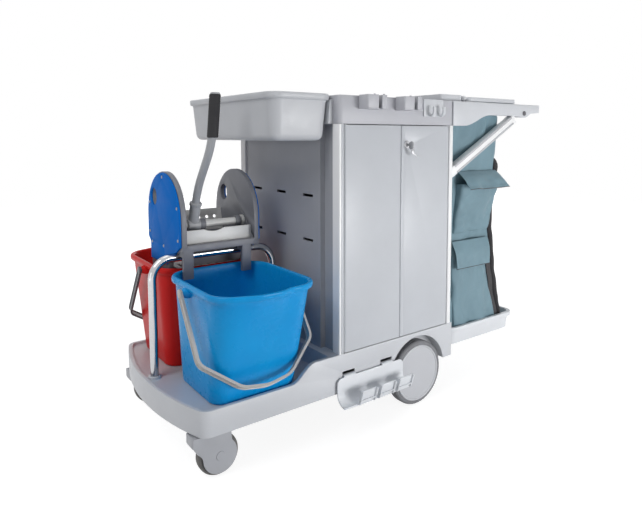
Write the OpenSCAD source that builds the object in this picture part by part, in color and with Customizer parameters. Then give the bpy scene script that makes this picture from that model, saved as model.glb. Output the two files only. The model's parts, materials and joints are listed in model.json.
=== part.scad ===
// Janitor cart: a lockable cabinet on a moulded base, a bucket deck in front and a bag frame behind.
// Millimetres. +X runs from the bucket deck to the bag, -Y is the door side, +Z is up, the floor is z = 0.
// Sizes are measured from the cabinet: its front face is x = 0 and its middle plane is y = 0.

/* [Casters] */
// Diameter of a caster wheel
caster_d = 106; // [98:1:114]
// Width of a caster tyre
caster_w = 30; // [24:1:34]
// Distance of a wheel axle behind its swivel axis
caster_trail = 18; // [14:1:24]
// Swivel axis, back from the tip of the deck
caster_set_back = 84; // [76:1:100]
// Swivel axis, in from the side of the body
caster_set_in = 45; // [44:1:60]
// Diameter of the swivel neck
neck_d = 28; // [22:1:32]
// Diameter of a caster axle
caster_axle_d = 10; // [8:0.5:12]
// Radius of the hood's side covers
hood_side_r = 46; // [38:1:48]
// How far the hood's skirt reaches ahead of its swivel
hood_lead = 52; // [40:1:56]
// Wall of the hood above the wheel
hood_wall = 8; // [6:0.5:9]

/* [Rear wheels] */
// Diameter of a rear wheel
rear_d = 200; // [184:1:206]
// Width of a rear tyre
rear_w = 38; // [30:1:42]
// Diameter of a rear hub, inside the tyre
hub_d = 174; // [150:1:178]
// Diameter of the rear axle
rear_axle_d = 16; // [12:1:20]
// Axle, forward of the base's rear end
rear_set_in = 154; // [148:1:175]
// Gap between tyre and wheel arch
arch_gap = 17; // [10:1:19]
// How far a rear wheel stands out of the body's side
wheel_proud = 3; // [0:0.5:6]

/* [Base] */
// Width of the body
body_w = 570; // [550:1:600]
// How far the deck's front edge bows out
deck_bow = 50; // [35:1:60]
// Radius of the deck's front corners
deck_corner_r = 30; // [22:1:60]
// Height of the deck's rim above the underside
deck_rim_h = 66; // [60:1:72]
// Height of the deck's floor above the underside
deck_floor_h = 57; // [50:1:59]
// Height of the base under the cabinet
base_h = 110; // [106:1:125]
// How far the base's top reaches in front of the cabinet
base_step = 30; // [22:1:40]
// How far the base reaches behind the cabinet
base_tail = 7; // [2:1:20]
// Length of the S-shaped rise of the side walls
sweep_len = 75; // [50:1:90]
// Level part of the side walls between the rise and the step
sweep_flat = 50; // [30:1:60]
// Outer wall of the base
base_wall = 6; // [4:0.5:7]
// Width of the deck's rim
rim_w = 12; // [9:1:15]
// Thickness of the deck's and the cabinet's floor
floor_t = 8; // [6:1:10]
// Thickness of the ribs under the base
rib_t = 5; // [3:0.5:7]
// Largest pitch of the ribs
rib_pitch = 300; // [280:1:320]

/* [Cabinet] */
// Length of the cabinet
cab_len = 453; // [430:1:480]
// Height of the corner posts
cab_h = 638; // [600:1:680]
// Size of a post along the cart
post_l = 16; // [14:1:20]
// Size of a post across the cart
post_w = 33; // [28:1:38]
// Wall of a post
post_wall = 2; // [1.5:0.5:3]
// Thickness of the panels
panel_t = 6; // [4:0.5:7]
// How far the panels stand behind the post faces
panel_set = 6; // [3:0.5:8]
// How far the front panel's middle field stands out
field_rise = 16; // [10:1:17]
// Plain margin beside the front panel's field
field_margin = 43; // [30:1:60]
// Width of an accessory slot in the front panel
slot_w = 52; // [40:1:60]
// Height of an accessory slot
slot_h = 8; // [6:0.5:10]
// Spacing of the slots across the panel
slot_pitch = 147; // [120:1:150]
// Height of the lower row of slots above the base
slot_low = 305; // [280:1:330]
// Height between the rows of slots
slot_rows = 130; // [110:1:150]
// Height of the inner shelf above the base
shelf_h = 312; // [250:1:380]
// Thickness of the inner shelf
shelf_t = 10; // [8:1:14]

/* [Header] */
// Height of the header frame
header_h = 78; // [72:1:90]
// Radius of the header's corners
header_corner_r = 14; // [11:1:20]
// Wall of the header
header_wall = 8; // [6:0.5:10]
// Depth of the tray in the top of the header
tray_depth = 34; // [26:1:38]
// Thickness of that tray's floor
tray_floor_t = 6; // [4:0.5:8]
// Width of the solid rail above the doors
head_rail_w = 24; // [22:1:30]

/* [Doors] */
// Thickness of a door
door_t = 16; // [14:1:18]
// Gap above and below a door
door_gap = 2; // [1:0.5:4]
// Gap between a door's edge and its post, and between the doors
door_play = 1.5; // [1:0.5:3]
// Diameter of a hinge pin
hinge_pin_d = 6; // [5:0.5:8]
// Depth of a hinge pin in a door and in its seat
hinge_pin_depth = 12; // [10:1:16]
// Diameter of the lock barrel
lock_d = 18; // [14:1:22]
// Height of the lock above the base
lock_h = 580; // [480:1:582]
// Lock, in from the free edge of the door
lock_set_in = 24; // [20:1:40]
// Length of the lock's cam
cam_len = 42; // [36:1:50]

/* [Front bin] */
// Length of the bin's rim
bin_l = 200; // [170:1:220]
// Width of the bin's rim
bin_w = 538; // [500:1:545]
// Height of the bin
bin_h = 125; // [105:1:130]
// How much narrower the bin's bottom is, on each side
bin_taper = 11; // [8:1:14]
// How far the rim stands out
bin_lip = 8; // [5:1:10]
// Height of the rim
bin_lip_h = 16; // [12:1:22]
// Wall of the bin
bin_wall = 3; // [2:0.5:4]
// Height of the bin's rim above the header
bin_rise = 2; // [0:0.5:4]

/* [Header accessories] */
// Width of a handle clip's wide jaw
clip_jaw = 38; // [32:1:42]
// Width of a handle clip's narrow jaw
clip_small_jaw = 19; // [16:1:24]
// Depth of a handle clip
clip_d = 40; // [36:1:44]
// Height of a handle clip
clip_h = 37; // [30:1:44]
// Diameter of the handle that a clip holds
clip_bore_d = 25; // [20:0.5:26]
// Width of a clip's mouth
clip_mouth = 13; // [11:1:16]
// Middle of the first clip's mouth, behind the cabinet's front edge
clip_x = 111.5; // [100:0.5:116]
// Distance between the clips
clip_pitch = 136; // [124:1:140]
// Width of the hook bracket
hook_w = 84; // [70:1:90]
// Height of the hook bracket
hook_h = 52; // [44:1:60]
// Middle of the hook bracket, forward of the cabinet's rear
hook_set_in = 95; // [60:1:100]
// Inner radius of a hook
hook_r = 9; // [7:0.5:11]
// Thickness of a hook
hook_t = 6; // [5:0.5:8]

/* [Tool rest] */
// Length of the tool rest
rest_l = 247; // [230:1:260]
// Start of the tool rest, ahead of the cabinet's front
rest_start = 12; // [0:1:30]
// How far the tool rest reaches out of the body's side
rest_reach = 60; // [50:1:70]
// Height of the tool rest's back plate
rest_h = 74; // [66:1:80]
// Height of the tool rest's underside above the floor
rest_z = 92; // [90:1:100]
// Wall of the tool rest
rest_wall = 4; // [3:0.5:5]
// Height of the front fingers
finger_h = 44; // [34:1:50]
// Width of a front finger
finger_w = 56; // [44:1:60]
// Width of a hook tab
tab_w = 40; // [30:1:46]
// Distance between the hook tabs
tab_pitch = 141; // [120:1:150]

/* [Buckets] */
// Length of a bucket's rim
bucket_l = 293; // [280:1:300]
// Width of a bucket's rim
bucket_w = 348; // [330:1:356]
// Height of a bucket
bucket_h = 290; // [270:1:300]
// Length of a bucket's bottom
bucket_foot_l = 242; // [220:1:250]
// Width of a bucket's bottom
bucket_foot_w = 231; // [210:1:240]
// How far a bucket's bottom lies towards the cart's middle
bucket_lean = 28; // [0:1:34]
// Corner radius of a bucket's rim
bucket_r = 78; // [60:1:90]
// Width of a bucket's rolled lip
lip_w = 10; // [8:1:12]
// Height of a bucket's rolled lip
lip_h = 17; // [13:1:20]
// Wall of a bucket
bucket_wall = 3; // [2:0.5:4]
// Gap between the rims of the buckets
bucket_spacing = 3; // [2:0.5:8]
// Gap between a bucket's rim and the step of the base
bucket_gap = 65; // [56:1:72]
// Diameter of a bail's pin
bail_pin_d = 10; // [8:0.5:11]
// Bail's pin below the rim
bail_drop = 23; // [21:1:28]
// Length of a bail from pin to grip
bail_l = 272; // [262:1:282]
// How far above its grip a bail's arms bend
bail_knee = 88; // [70:1:110]
// Half the width of a bail's grip
bail_grip = 68; // [50:1:90]
// Angle at which a bail hangs against its bucket
bail_angle = 35; // [33:1:40]
// How far a bail's pins lie from the bucket's middle, towards the cart's middle
bail_in = 20; // [0:1:24]
// Width of a bail's strap
bail_w = 12; // [9:1:14]
// Thickness of a bail's strap
bail_t = 6; // [5:0.5:7]

/* [Divider rail] */
// Diameter of the rail's tube
rail_d = 22; // [18:1:25]
// Gap between the buckets' rims and the rail
rail_rise = 25; // [20:1:34]
// Radius of the rail's bends
rail_bend = 56; // [44:1:70]
// Gap between the buckets' front and the rail's leg
rail_front_gap = 29; // [28:1:40]
// Gap between the buckets' rear and the rail's leg
rail_rear_gap = 49; // [30:1:54]
// Gap between the rail's leg and the tip of the deck
rail_deck_gap = 33; // [30:1:50]

/* [Wringer] */
// Distance between the outer faces of the wringer's covers
wringer_l = 243; // [230:1:246]
// Smallest gap between the wringer's covers and the ends of the buckets
wringer_clear = 25; // [20:1:30]
// Wringer's middle, behind the buckets' middle
wringer_shift = 11; // [0:1:12]
// Width of a cheek
cheek_w = 258; // [240:1:264]
// Height of a cheek's rounded top
cheek_crown = 132; // [110:1:145]
// Height of the cheeks' straight sides
cheek_side = 70; // [56:1:86]
// Thickness of a cheek
cheek_t = 14; // [10:1:16]
// Thickness of a blue cover
cover_t = 5; // [3:0.5:7]
// Diameter of the wringer's shaft
shaft_d = 22; // [18:1:24]
// Height of the shaft above the rail
shaft_rise = 80; // [74:1:90]
// Distance of the shaft behind the rail
shaft_back = 30; // [26:1:36]
// Width of a hanger leg
leg_w = 28; // [22:1:34]
// How far the hanger legs reach below the rail
leg_drop = 58; // [46:1:64]
// Length of the press plate
press_l = 118; // [100:1:120]
// Thickness of the press plate and the back plate
plate_t = 5; // [4:0.5:6]
// Diameter of the lever's tube
lever_d = 22; // [18:1:24]
// Diameter of the lever's grip
grip_d = 30; // [28:1:34]
// Lever, behind the front cheek's outer face
lever_set = 66; // [60:1:80]

/* [Bag frame] */
// Length of a bag arm
arm_len = 464; // [430:1:490]
// Width of a bag arm
arm_w = 27; // [22:1:32]
// Height of a bag arm in its middle
arm_mid_h = 41; // [36:1:48]
// Height of a bag arm at its end
arm_end_h = 27; // [22:1:32]
// Length of a bag arm's deep root
arm_root = 52; // [40:1:60]
// End of a bag arm's arched brace
arm_arch = 187; // [150:1:210]
// Bolt through a bag arm, from its root
arm_bolt_x = 371; // [360:1:390]
// Depth of a stay's tube
stay_h = 30; // [24:1:34]
// Width of a stay's tube
stay_w = 22; // [18:1:22]
// Wall of a stay's tube
stay_wall = 2; // [1.5:0.5:3]
// Stay's foot, below the top of the header
stay_foot = 227; // [200:1:240]
// Stay's top, from the root of the arm
stay_reach = 322; // [300:1:340]
// Diameter of the push handle
handle_d = 24; // [20:1:27]
// Push handle, in from the end of the arms
handle_set_in = 30; // [20:1:40]
// Length of the cover plate between header and lid
bridge_l = 100; // [90:1:110]
// Height of that cover plate
bridge_h = 22; // [20:1:26]
// Lid's hinge, behind the cabinet
lid_hinge_x = 84; // [80:1:92]
// Length of the lid behind its hinge
lid_l = 265; // [240:1:280]
// Thickness of the lid
lid_h = 14; // [12:1:17]
// Diameter of the lid's hinge pin
lid_pin_d = 8; // [6:0.5:9]

/* [Bag] */
// Length of the bag at its mouth
bag_top_l = 229; // [210:1:240]
// Length of the bag at its bottom
bag_foot_l = 268; // [240:1:290]
// Gap between the cabinet and the bag
bag_gap = 24; // [16:1:30]
// Gap between the bag and an arm
bag_side_gap = 8; // [6:1:14]
// Thickness of the bag's cloth
bag_cloth = 2; // [1.5:0.5:3]
// Mouth of the bag below the top of the arms
bag_drop = 14; // [8:1:24]
// Width of a bag pocket
pocket_w = 185; // [160:1:195]
// Height of a pocket's flap
flap_h = 90; // [70:1:95]

/* [Bag tray] */
// Length of the bag tray's rim
tray_l = 346; // [330:1:370]
// Width of the bag tray's rim
tray_w = 560; // [540:1:565]
// Height of the bag tray
bag_tray_h = 60; // [50:1:70]
// Underside of the bag tray above the underside of the base
bag_tray_z = 23; // [15:1:30]
// Wall of the bag tray
bag_tray_wall = 4; // [3:0.5:5]
// How far the bag tray's rim stands out
bag_tray_lip = 8; // [6:1:10]

/* [Hidden] */
$fn = 64;
hull_fn = 32;
thin = 0.01;
past = 1;
fit = 0.05;
loose = 0.3;
half_w = body_w / 2;

// Casters and base heights
caster_r = caster_d / 2;
hood_gap = 2;
swivel_gap = 4;
hood_r = caster_r + hood_gap + hood_wall;
hood_side_t = 5;
hood_half = caster_w / 2 + hood_gap + hood_side_t;
neck_wall = 7;
pocket_wall = 6.5;
base_z = caster_r + hood_r + swivel_gap;
deck_z = base_z + deck_floor_h;
deck_rim_z = base_z + deck_rim_h;
base_top = base_z + base_h;
base_rear = cab_len + base_tail;
caster_y = half_w - caster_set_in;
deck_under = deck_z - floor_t;
caster_plate_t = 5;

// Rear wheels
rear_r = rear_d / 2;
rear_x = base_rear - rear_set_in;
arch_r = rear_r + arch_gap;
arch_wall = 6;
wheel_out = half_w + wheel_proud;
wheel_in = wheel_out - rear_w;
arch_in = wheel_in - 3;
lug_t = 24;
lug_r = rear_axle_d / 2 + 10;

// Cabinet
header_z = base_top + cab_h;
header_top = header_z + header_h;
post_in = half_w - post_w;
field_half = post_in - field_margin;
field_x = panel_set - field_rise;
rear_panel_x = cab_len - panel_set - panel_t;
far_panel_y = half_w - panel_set - panel_t;
shelf_front_y = half_w - door_t - 14;

// Doors
door_z = base_top + door_gap;
door_h = cab_h - 2 * door_gap;
hinge_r = hinge_pin_d / 2;
hinge_y = -half_w + door_t / 2;
hinge_front_x = post_l + door_play + door_t / 2;
hinge_rear_x = cab_len - hinge_front_x;
seam_x = cab_len / 2;
lock_x = seam_x + lock_set_in;
lock_z = base_top + lock_h;
lock_r = lock_d / 2;
lock_cap_t = 3;
cam_t = 3;

// Buckets and divider rail
bucket_len = max(bucket_l, wringer_l + 2 * wringer_clear);
bucket_x = -(base_step + bucket_gap + bucket_len / 2);
bucket_y = (bucket_w + bucket_spacing) / 2;
bucket_top = deck_z + bucket_h;
body_l = bucket_len - 2 * lip_w;
body_y = bucket_w - 2 * lip_w;
bail_z = bucket_top - bail_drop;
bail_pin_r = bail_pin_d / 2;
ear_out = bucket_len / 2 + 9;
bail_half = ear_out + 0.5 + bail_t / 2;
bail_y = bucket_y - bail_in;
ear_r = bail_pin_r + 4;
rail_r = rail_d / 2;
rail_z = bucket_top + rail_rise + rail_r;
rail_front_x = bucket_x - bucket_len / 2 - rail_front_gap;
rail_rear_x = bucket_x + bucket_len / 2 + rail_rear_gap;
deck_len = rail_deck_gap - rail_front_x;
caster_x = caster_set_back - deck_len;

// Wringer, measured from the rail
wringer_x = bucket_x + wringer_shift;
cheek_out = wringer_l / 2 - cover_t;
cheek_in = cheek_out - cheek_t;
cheek_y = cheek_w / 2 - 42;
cheek_low = rail_z + 30;
cheek_mid = cheek_low + cheek_side;
cheek_foot = bucket_top - 29;
cheek_near = bucket_spacing / 2 + lip_w + 50;
cheek_far = cheek_y + cheek_w / 2 - 18;
shaft_r = shaft_d / 2;
shaft_y = shaft_back;
shaft_z = rail_z + shaft_rise;
beam_z = rail_z + rail_r + 6;
beam_h = 17;
beam_y = -(bucket_spacing / 2 + lip_w + 30);
beam_w = 26;
leg_t = 12;
leg_x = wringer_l / 2 - 33.5;
lever_x = wringer_x - wringer_l / 2 + lever_set;
lever_r = lever_d / 2;
grip_r = grip_d / 2;
socket_r = lever_r + 4;
socket_half = 18;
socket_hub_r = shaft_r + 7;
// The lever's bends, as [y, z] from the shaft
lever_path = [[0, 0], [-38, 106], [-140, 234], [-162, 356]];
socket_end = [-24, 66];
grip_start = [-142.5, 248];
hole_y = cheek_y + 71;
hole_z = cheek_mid + 55;
hole_r = 22;
hole_h = 6;
screw_r = 4;
back_low_y = cheek_far - 50;
back_tilt = 13;
drain_pitch = 26;
guard_h = 38;
notch_w = 60;
notch_deep = 7;
notch_x = -13;
back_h = 150;
back_z = cheek_foot + 22;

// Bag frame
arm_in = half_w - arm_w;
stay_y = half_w - 2 - stay_w / 2;
stay_top_z = header_top - arm_mid_h - 8;
stay_foot_z = header_top - stay_foot;
stay_rise = stay_top_z - stay_foot_z;
stay_angle = atan2(stay_rise, stay_reach);
hinge_lid_x = cab_len + lid_hinge_x;
hinge_lid_z = header_top + 12;
knuckle_r = lid_pin_d / 2 + 5;
knuckle_w = 22;
lid_w = 2 * arm_in + 24;
lid_knuckle_y = arm_in - 2;
lid_wall = 3;
bridge_end = hinge_lid_x - knuckle_r - 3;

// Bag and its tray
bag_x = cab_len + bag_gap;
bag_half = arm_in - bag_side_gap;
tray_z = base_z + bag_tray_z;
tray_top = tray_z + bag_tray_h;
bag_z = tray_z + bag_tray_wall + loose;
bag_top = header_top - bag_drop;
bag_foot_half = bag_half - 10;
pocket_t = 10;
pocket_h = 240;
pocket_low = 348;
pocket_rise = 250;

// The origin is under the middle of the whole cart's box
arm_end_x = cab_len + arm_len;
near_reach = max(bucket_y + bucket_w / 2, half_w + rest_reach);
far_reach = max(bucket_y + bucket_w / 2, wheel_out);
mid_x = (arm_end_x - deck_len) / 2;
mid_y = (far_reach - near_reach) / 2;

body_grey = [0.80, 0.81, 0.83];
panel_grey = [0.66, 0.67, 0.69];
post_white = [0.92, 0.93, 0.93];
mid_grey = [0.50, 0.51, 0.53];
dark_grey = [0.28, 0.29, 0.30];
tyre_grey = [0.45, 0.46, 0.47];
steel_grey = [0.72, 0.73, 0.75];
pale_grey = [0.86, 0.87, 0.87];
chrome_grey = [0.85, 0.86, 0.88];
bucket_blue_colour = [0.05, 0.42, 0.80];
bucket_red_colour = [0.78, 0.16, 0.13];
grip_black = [0.08, 0.08, 0.09];
bail_grey = [0.68, 0.66, 0.64];
bag_teal = [0.30, 0.46, 0.50];

// General shapes

// Moves the cart's own measures to the origin under its middle
module placed() {
  translate([-mid_x, -mid_y, 0]) children();
}

// Rectangle with round corners, centred
module round_rect(l, w, r, n = 64) {
  square([l - 2 * r, w], center = true);
  square([l, w - 2 * r], center = true);
  for (sx = [-1, 1], sy = [-1, 1]) {
    translate([sx * (l / 2 - r), sy * (w / 2 - r)]) circle(r, $fn = n);
  }
}

// Slab with round upright edges, centred in plan
module round_slab(l, w, h, r) {
  linear_extrude(h) round_rect(l, w, r);
}

// Tapered block with round upright edges: from [length, width, radius, x, y] below to the same above
module tapered(low, high, h) {
  hull() {
    translate([low[3], low[4], 0]) linear_extrude(thin) round_rect(low[0], low[1], low[2], hull_fn);
    translate([high[3], high[4], h - thin])
      linear_extrude(thin) round_rect(high[0], high[1], high[2], hull_fn);
  }
}

// Cylinder along X from x0 to x1
module x_rod(x0, x1, y, z, r) {
  translate([x0, y, z]) rotate([0, 90, 0]) cylinder(h = x1 - x0, r = r);
}

// Cylinder along Y from y0 to y1
module y_rod(x, y0, y1, z, r) {
  translate([x, y0, z]) rotate([-90, 0, 0]) cylinder(h = y1 - y0, r = r);
}

// Box from its lowest to its highest corner
module box(low, high) {
  translate(low) cube(high - low);
}

// Outline in the X-Z plane, extruded along Y from y0 to y1
module side_plate(points, y0, y1) {
  translate([0, y1, 0]) rotate([90, 0, 0]) linear_extrude(y1 - y0) polygon(points);
}

// Outline in the Y-Z plane, extruded along X from x0 to x1
module cross_plate(points, x0, x1) {
  translate([x0, 0, 0]) rotate([90, 0, 90]) linear_extrude(x1 - x0) polygon(points);
}

// Tube or rod between two points in a plane of constant x, given as [y, z]
module lever_rod(from, to, r) {
  run = to - from;
  translate([lever_x, shaft_y + from[0], shaft_z + from[1]])
    rotate([-atan2(run[0], run[1]), 0, 0]) cylinder(h = norm(run), r = r);
}

// Base

bow_r = (half_w * half_w + deck_bow * deck_bow) / (2 * deck_bow);
bow_x = bow_r - deck_len;

// Plan of the deck, drawn in by the given amount and cut off at the given rear end
function deck_outline(inset, rear) = let(
  half = half_w - inset,
  big = bow_r - inset,
  r = deck_corner_r - inset,
  run = sqrt(pow(big - r, 2) - pow(half - r, 2)),
  turn = atan2(half - r, run),
  cx = bow_x - run,
  corner = [for (i = [0:8]) 90 - (90 - turn) * i / 8],
  bow = [for (i = [1:15]) turn * (1 - i / 8)]
) concat(
  [[rear, -half]],
  [for (a = corner) [cx - r * cos(a), r - half - r * sin(a)]],
  [for (a = bow) [bow_x - big * cos(a), -big * sin(a)]],
  [for (i = [8:-1:0]) [cx - r * cos(corner[i]), half - r + r * sin(corner[i])]],
  [[rear, half]]
);

sweep_end = -base_step - sweep_flat;
sweep_points = concat(
  [[-base_step, deck_rim_z - past]],
  [[sweep_end - sweep_len, deck_rim_z - past]],
  [for (i = [0:12]) [sweep_end - sweep_len * (1 - i / 12),
    deck_rim_z + (base_top - deck_rim_z) * (1 - cos(15 * i)) / 2]],
  [[-base_step, base_top]]
);

// Hollow cells between the ribs, open below
module rib_cells(x0, x1, z_top) {
  nx = ceil((x1 - x0) / rib_pitch);
  span = body_w - 2 * base_wall;
  ny = ceil(span / rib_pitch);
  lx = (x1 - x0 - (nx + 1) * rib_t) / nx;
  ly = (span - (ny - 1) * rib_t) / ny;
  for (i = [0:nx - 1], j = [0:ny - 1]) {
    translate([x0 + rib_t + i * (lx + rib_t), j * (ly + rib_t) - span / 2, base_z - past])
      cube([lx, ly, z_top - base_z + past]);
  }
}

module base_shell() {
  difference() {
    union() {
      translate([0, 0, base_z]) linear_extrude(deck_rim_h) polygon(deck_outline(0, base_rear));
      box([-base_step, -half_w, base_z], [base_rear, half_w, base_top]);
      side_plate(sweep_points, -half_w, rim_w - half_w);
      side_plate(sweep_points, half_w - rim_w, half_w);
    }
    translate([0, 0, deck_z]) linear_extrude(base_h) polygon(deck_outline(rim_w, -base_step));
    intersection() {
      rib_cells(-deck_len, -base_step, deck_under);
      translate([0, 0, base_z - past])
        linear_extrude(deck_floor_h) polygon(deck_outline(base_wall, -base_step));
    }
    rib_cells(-base_step, base_rear, base_top - floor_t);
  }
}

// Axle lugs, wheel arch walls, rail collars, caster seats and the seats of the door pins
module base_fittings() {
  for (s = [-1, 1]) {
    y0 = s > 0 ? arch_in - arch_wall : -half_w;
    lug_y = s > 0 ? arch_in - lug_t : -arch_in;
    intersection() {
      y_rod(rear_x, y0, y0 + half_w - arch_in + arch_wall, rear_r, arch_r + arch_wall);
      box([-deck_len, -half_w, base_z], [base_rear, half_w, base_top]);
    }
    y_rod(rear_x, lug_y, lug_y + lug_t, rear_r, lug_r);
    box([rear_x - lug_r, lug_y, rear_r], [rear_x + lug_r, lug_y + lug_t, base_top - floor_t]);
  }
  for (x = [rail_front_x, rail_rear_x]) {
    translate([x, 0, deck_z]) cylinder(h = floor_t, r = rail_r + 6);
  }
  for (s = [-1, 1]) {
    translate([caster_x, s * caster_y, base_z + swivel_gap])
      cylinder(h = deck_z - base_z - swivel_gap, r = neck_d / 2 + neck_wall + pocket_wall);
  }
  for (x = [hinge_front_x, hinge_rear_x]) {
    box([x - door_t, -half_w, base_top - hinge_pin_depth - 4], [x + door_t, door_t - half_w, base_top]);
  }
}

module base_platform() placed() color(body_grey) difference() {
  union() {
    base_shell();
    base_fittings();
  }
  for (s = [-1, 1]) {
    y_rod(rear_x, s > 0 ? arch_in : -half_w - past, s > 0 ? half_w + past : -arch_in, rear_r, arch_r);
    translate([caster_x, s * caster_y, base_z - past])
      cylinder(h = deck_under - base_z + past, r = neck_d / 2 + neck_wall + 1);
  }
  y_rod(rear_x, -half_w, half_w, rear_r, rear_axle_d / 2 + fit);
  for (x = [rail_front_x, rail_rear_x]) {
    translate([x, 0, deck_z]) cylinder(h = floor_t + past, r = rail_r + fit);
  }
  for (x = [hinge_front_x, hinge_rear_x]) {
    translate([x, hinge_y, base_top - hinge_pin_depth])
      cylinder(h = hinge_pin_depth + past, r = hinge_r + fit);
  }
  for (s = [-1, 1]) {
    box([tab_x(s) - tab_w / 2 - 2, -half_w - past, tab_z - tab_t - 2],
      [tab_x(s) + tab_w / 2 + 2, hook_y + past, tab_z + 8]);
    box([tab_x(s) - tab_w / 2 - 2, hook_y, tab_z - hook_deep - 2],
      [tab_x(s) + tab_w / 2 + 2, hook_y + hook_lip + 2, tab_z + 8]);
  }
}

// Rear axle and wheels

module rear_axle() placed() color(steel_grey) {
  y_rod(rear_x, 8 - wheel_out, wheel_out - 8, rear_r, rear_axle_d / 2);
}

// Disc hub with a flat dished face outside and a boss on the axle inside
module rear_hub(s) placed() color(body_grey) {
  hr = hub_d / 2 - fit;
  translate([rear_x, s * wheel_out, rear_r]) rotate([s * 90, 0, 0]) difference() {
    union() {
      rotate_extrude() polygon([[0, 2.5], [hr - 12, 2.5], [hr - 8, 0.5], [hr - 3, 0], [hr, 3],
        [hr, rear_w - 2], [hr - 8, rear_w - 2], [hr - 8, 10], [0, 10]]);
      cylinder(h = rear_w + 2.5, r = rear_axle_d / 2 + 8);
    }
    translate([0, 0, 7]) cylinder(h = rear_w, r = rear_axle_d / 2 + fit);
  }
}

// Tyre with rounded shoulders and three tread grooves
module rear_tyre(s) placed() color(tyre_grey) {
  hr = hub_d / 2;
  groove = 3;
  translate([rear_x, s * wheel_out, rear_r]) rotate([s * 90, 0, 0]) rotate_extrude() difference() {
    polygon([[hr, 2], [rear_r - 9, 2], [rear_r - 3, 5], [rear_r, 11], [rear_r, rear_w - 11],
      [rear_r - 3, rear_w - 5], [rear_r - 9, rear_w - 2], [hr, rear_w - 2]]);
    for (i = [-1:1]) {
      translate([rear_r - 2.5, rear_w / 2 + i * 6 - groove / 2]) square([5, groove]);
    }
  }
}

// Casters

// Mount under the deck: a round plate and the housing that the swivel neck turns in
module caster_mount(s) placed() color(steel_grey) {
  translate([caster_x, s * caster_y, 0]) difference() {
    union() {
      translate([0, 0, deck_under - caster_plate_t]) cylinder(h = caster_plate_t, r = neck_d / 2 + neck_wall);
      translate([0, 0, base_z + swivel_gap + loose])
        cylinder(h = deck_under - base_z - swivel_gap - loose, r = neck_d / 2 + neck_wall - 1);
    }
    translate([0, 0, base_z]) cylinder(h = deck_under - base_z - caster_plate_t, r = neck_d / 2 + fit);
  }
}

// Hood: two side covers joined above the wheel, a brake tab and the swivel neck in one piece
module caster_hood(s) placed() color(mid_grey) {
  crown_z = base_z - swivel_gap;
  tilt = 25;
  shoulder = caster_r + hood_side_r * sin(tilt);
  reach = hood_side_r * cos(tilt);
  skirt = 26;
  cover = [[-hood_lead, crown_z], [-hood_lead, crown_z - skirt], [caster_trail - reach, 2 * caster_r - shoulder],
    [caster_trail + reach, shoulder], [caster_trail + 30, crown_z - 16], [caster_trail + 30, crown_z]];
  translate([caster_x, s * caster_y, 0]) difference() {
    union() {
      y_rod(caster_trail, -hood_half, hood_half, caster_r, hood_side_r);
      side_plate(cover, -hood_half, hood_half);
      box([caster_trail + 20, -12, crown_z - 14], [caster_trail + 44, 12, crown_z - 5]);
      translate([0, 0, crown_z - hood_wall]) {
        cylinder(h = hood_wall + swivel_gap, r = neck_d / 2 + neck_wall - 1);
        cylinder(h = deck_under - caster_plate_t - loose - crown_z + hood_wall, r = neck_d / 2);
      }
    }
    y_rod(caster_trail, hood_side_t - hood_half, hood_half - hood_side_t, caster_r, caster_r + hood_gap);
    y_rod(caster_trail, -hood_half - past, hood_half + past, caster_r, caster_axle_d / 2 + fit);
  }
}

module caster_axle(s) placed() color(steel_grey) {
  translate([caster_x, s * caster_y, 0]) {
    y_rod(caster_trail, -hood_half - 1, hood_half + 1, caster_r, caster_axle_d / 2);
    for (t = [-1, 1]) {
      y_rod(caster_trail, t * (hood_half + 1) - 1, t * (hood_half + 1) + 1, caster_r, caster_axle_d / 2 + 3);
    }
  }
}

module caster_hub(s) placed() color(pale_grey) {
  hr = caster_r - 12;
  translate([caster_x + caster_trail, s * caster_y, caster_r]) rotate([90, 0, 0]) difference() {
    rotate_extrude() polygon([[0, -caster_w / 2 - 1], [14, -caster_w / 2 - 1], [16, -5], [hr - 8, -5],
      [hr - 6, 3 - caster_w / 2], [hr - fit, 3 - caster_w / 2], [hr - fit, caster_w / 2 - 3],
      [hr - 6, caster_w / 2 - 3], [hr - 8, 5], [16, 5], [14, caster_w / 2 + 1], [0, caster_w / 2 + 1]]);
    cylinder(h = caster_d, r = caster_axle_d / 2 + fit, center = true);
  }
}

module caster_tyre(s) placed() color(dark_grey) {
  hr = caster_r - 12;
  edge = caster_w / 2;
  translate([caster_x + caster_trail, s * caster_y, caster_r]) rotate([90, 0, 0]) rotate_extrude()
    polygon([[hr, 2 - edge], [caster_r - 6, -edge], [caster_r - 2, 4 - edge], [caster_r, 10 - edge],
      [caster_r, edge - 10], [caster_r - 2, edge - 4], [caster_r - 6, edge], [hr, edge - 2]]);
}

// Cabinet

// Hollow corner post: sx is -1 in front and 1 behind, sy is -1 on the door side
module post(sx, sy) placed() color(post_white) {
  corner_r = 3;
  x = sx < 0 ? post_l / 2 : cab_len - post_l / 2;
  translate([x, sy * (half_w - post_w / 2), base_top]) linear_extrude(cab_h) difference() {
    round_rect(post_l, post_w, corner_r);
    square([post_l - 2 * post_wall, post_w - 2 * post_wall], center = true);
  }
}

module front_panel() placed() color(panel_grey) difference() {
  union() {
    box([panel_set, -post_in, base_top], [panel_set + panel_t, post_in, header_z]);
    box([field_x, -field_half, base_top], [panel_set + panel_t, field_half, header_z]);
  }
  box([field_x + panel_t, panel_t - field_half, base_top + panel_t],
    [panel_set + panel_t + past, field_half - panel_t, header_z - panel_t]);
  for (i = [-1:1], k = [0, 1]) {
    translate([field_x - past, i * slot_pitch - slot_w / 2, base_top + slot_low + k * slot_rows - slot_h / 2])
      cube([panel_t + 2 * past, slot_w, slot_h]);
  }
}

module rear_panel() placed() color(panel_grey) {
  box([rear_panel_x, -post_in, base_top], [rear_panel_x + panel_t, post_in, header_z]);
}

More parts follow.
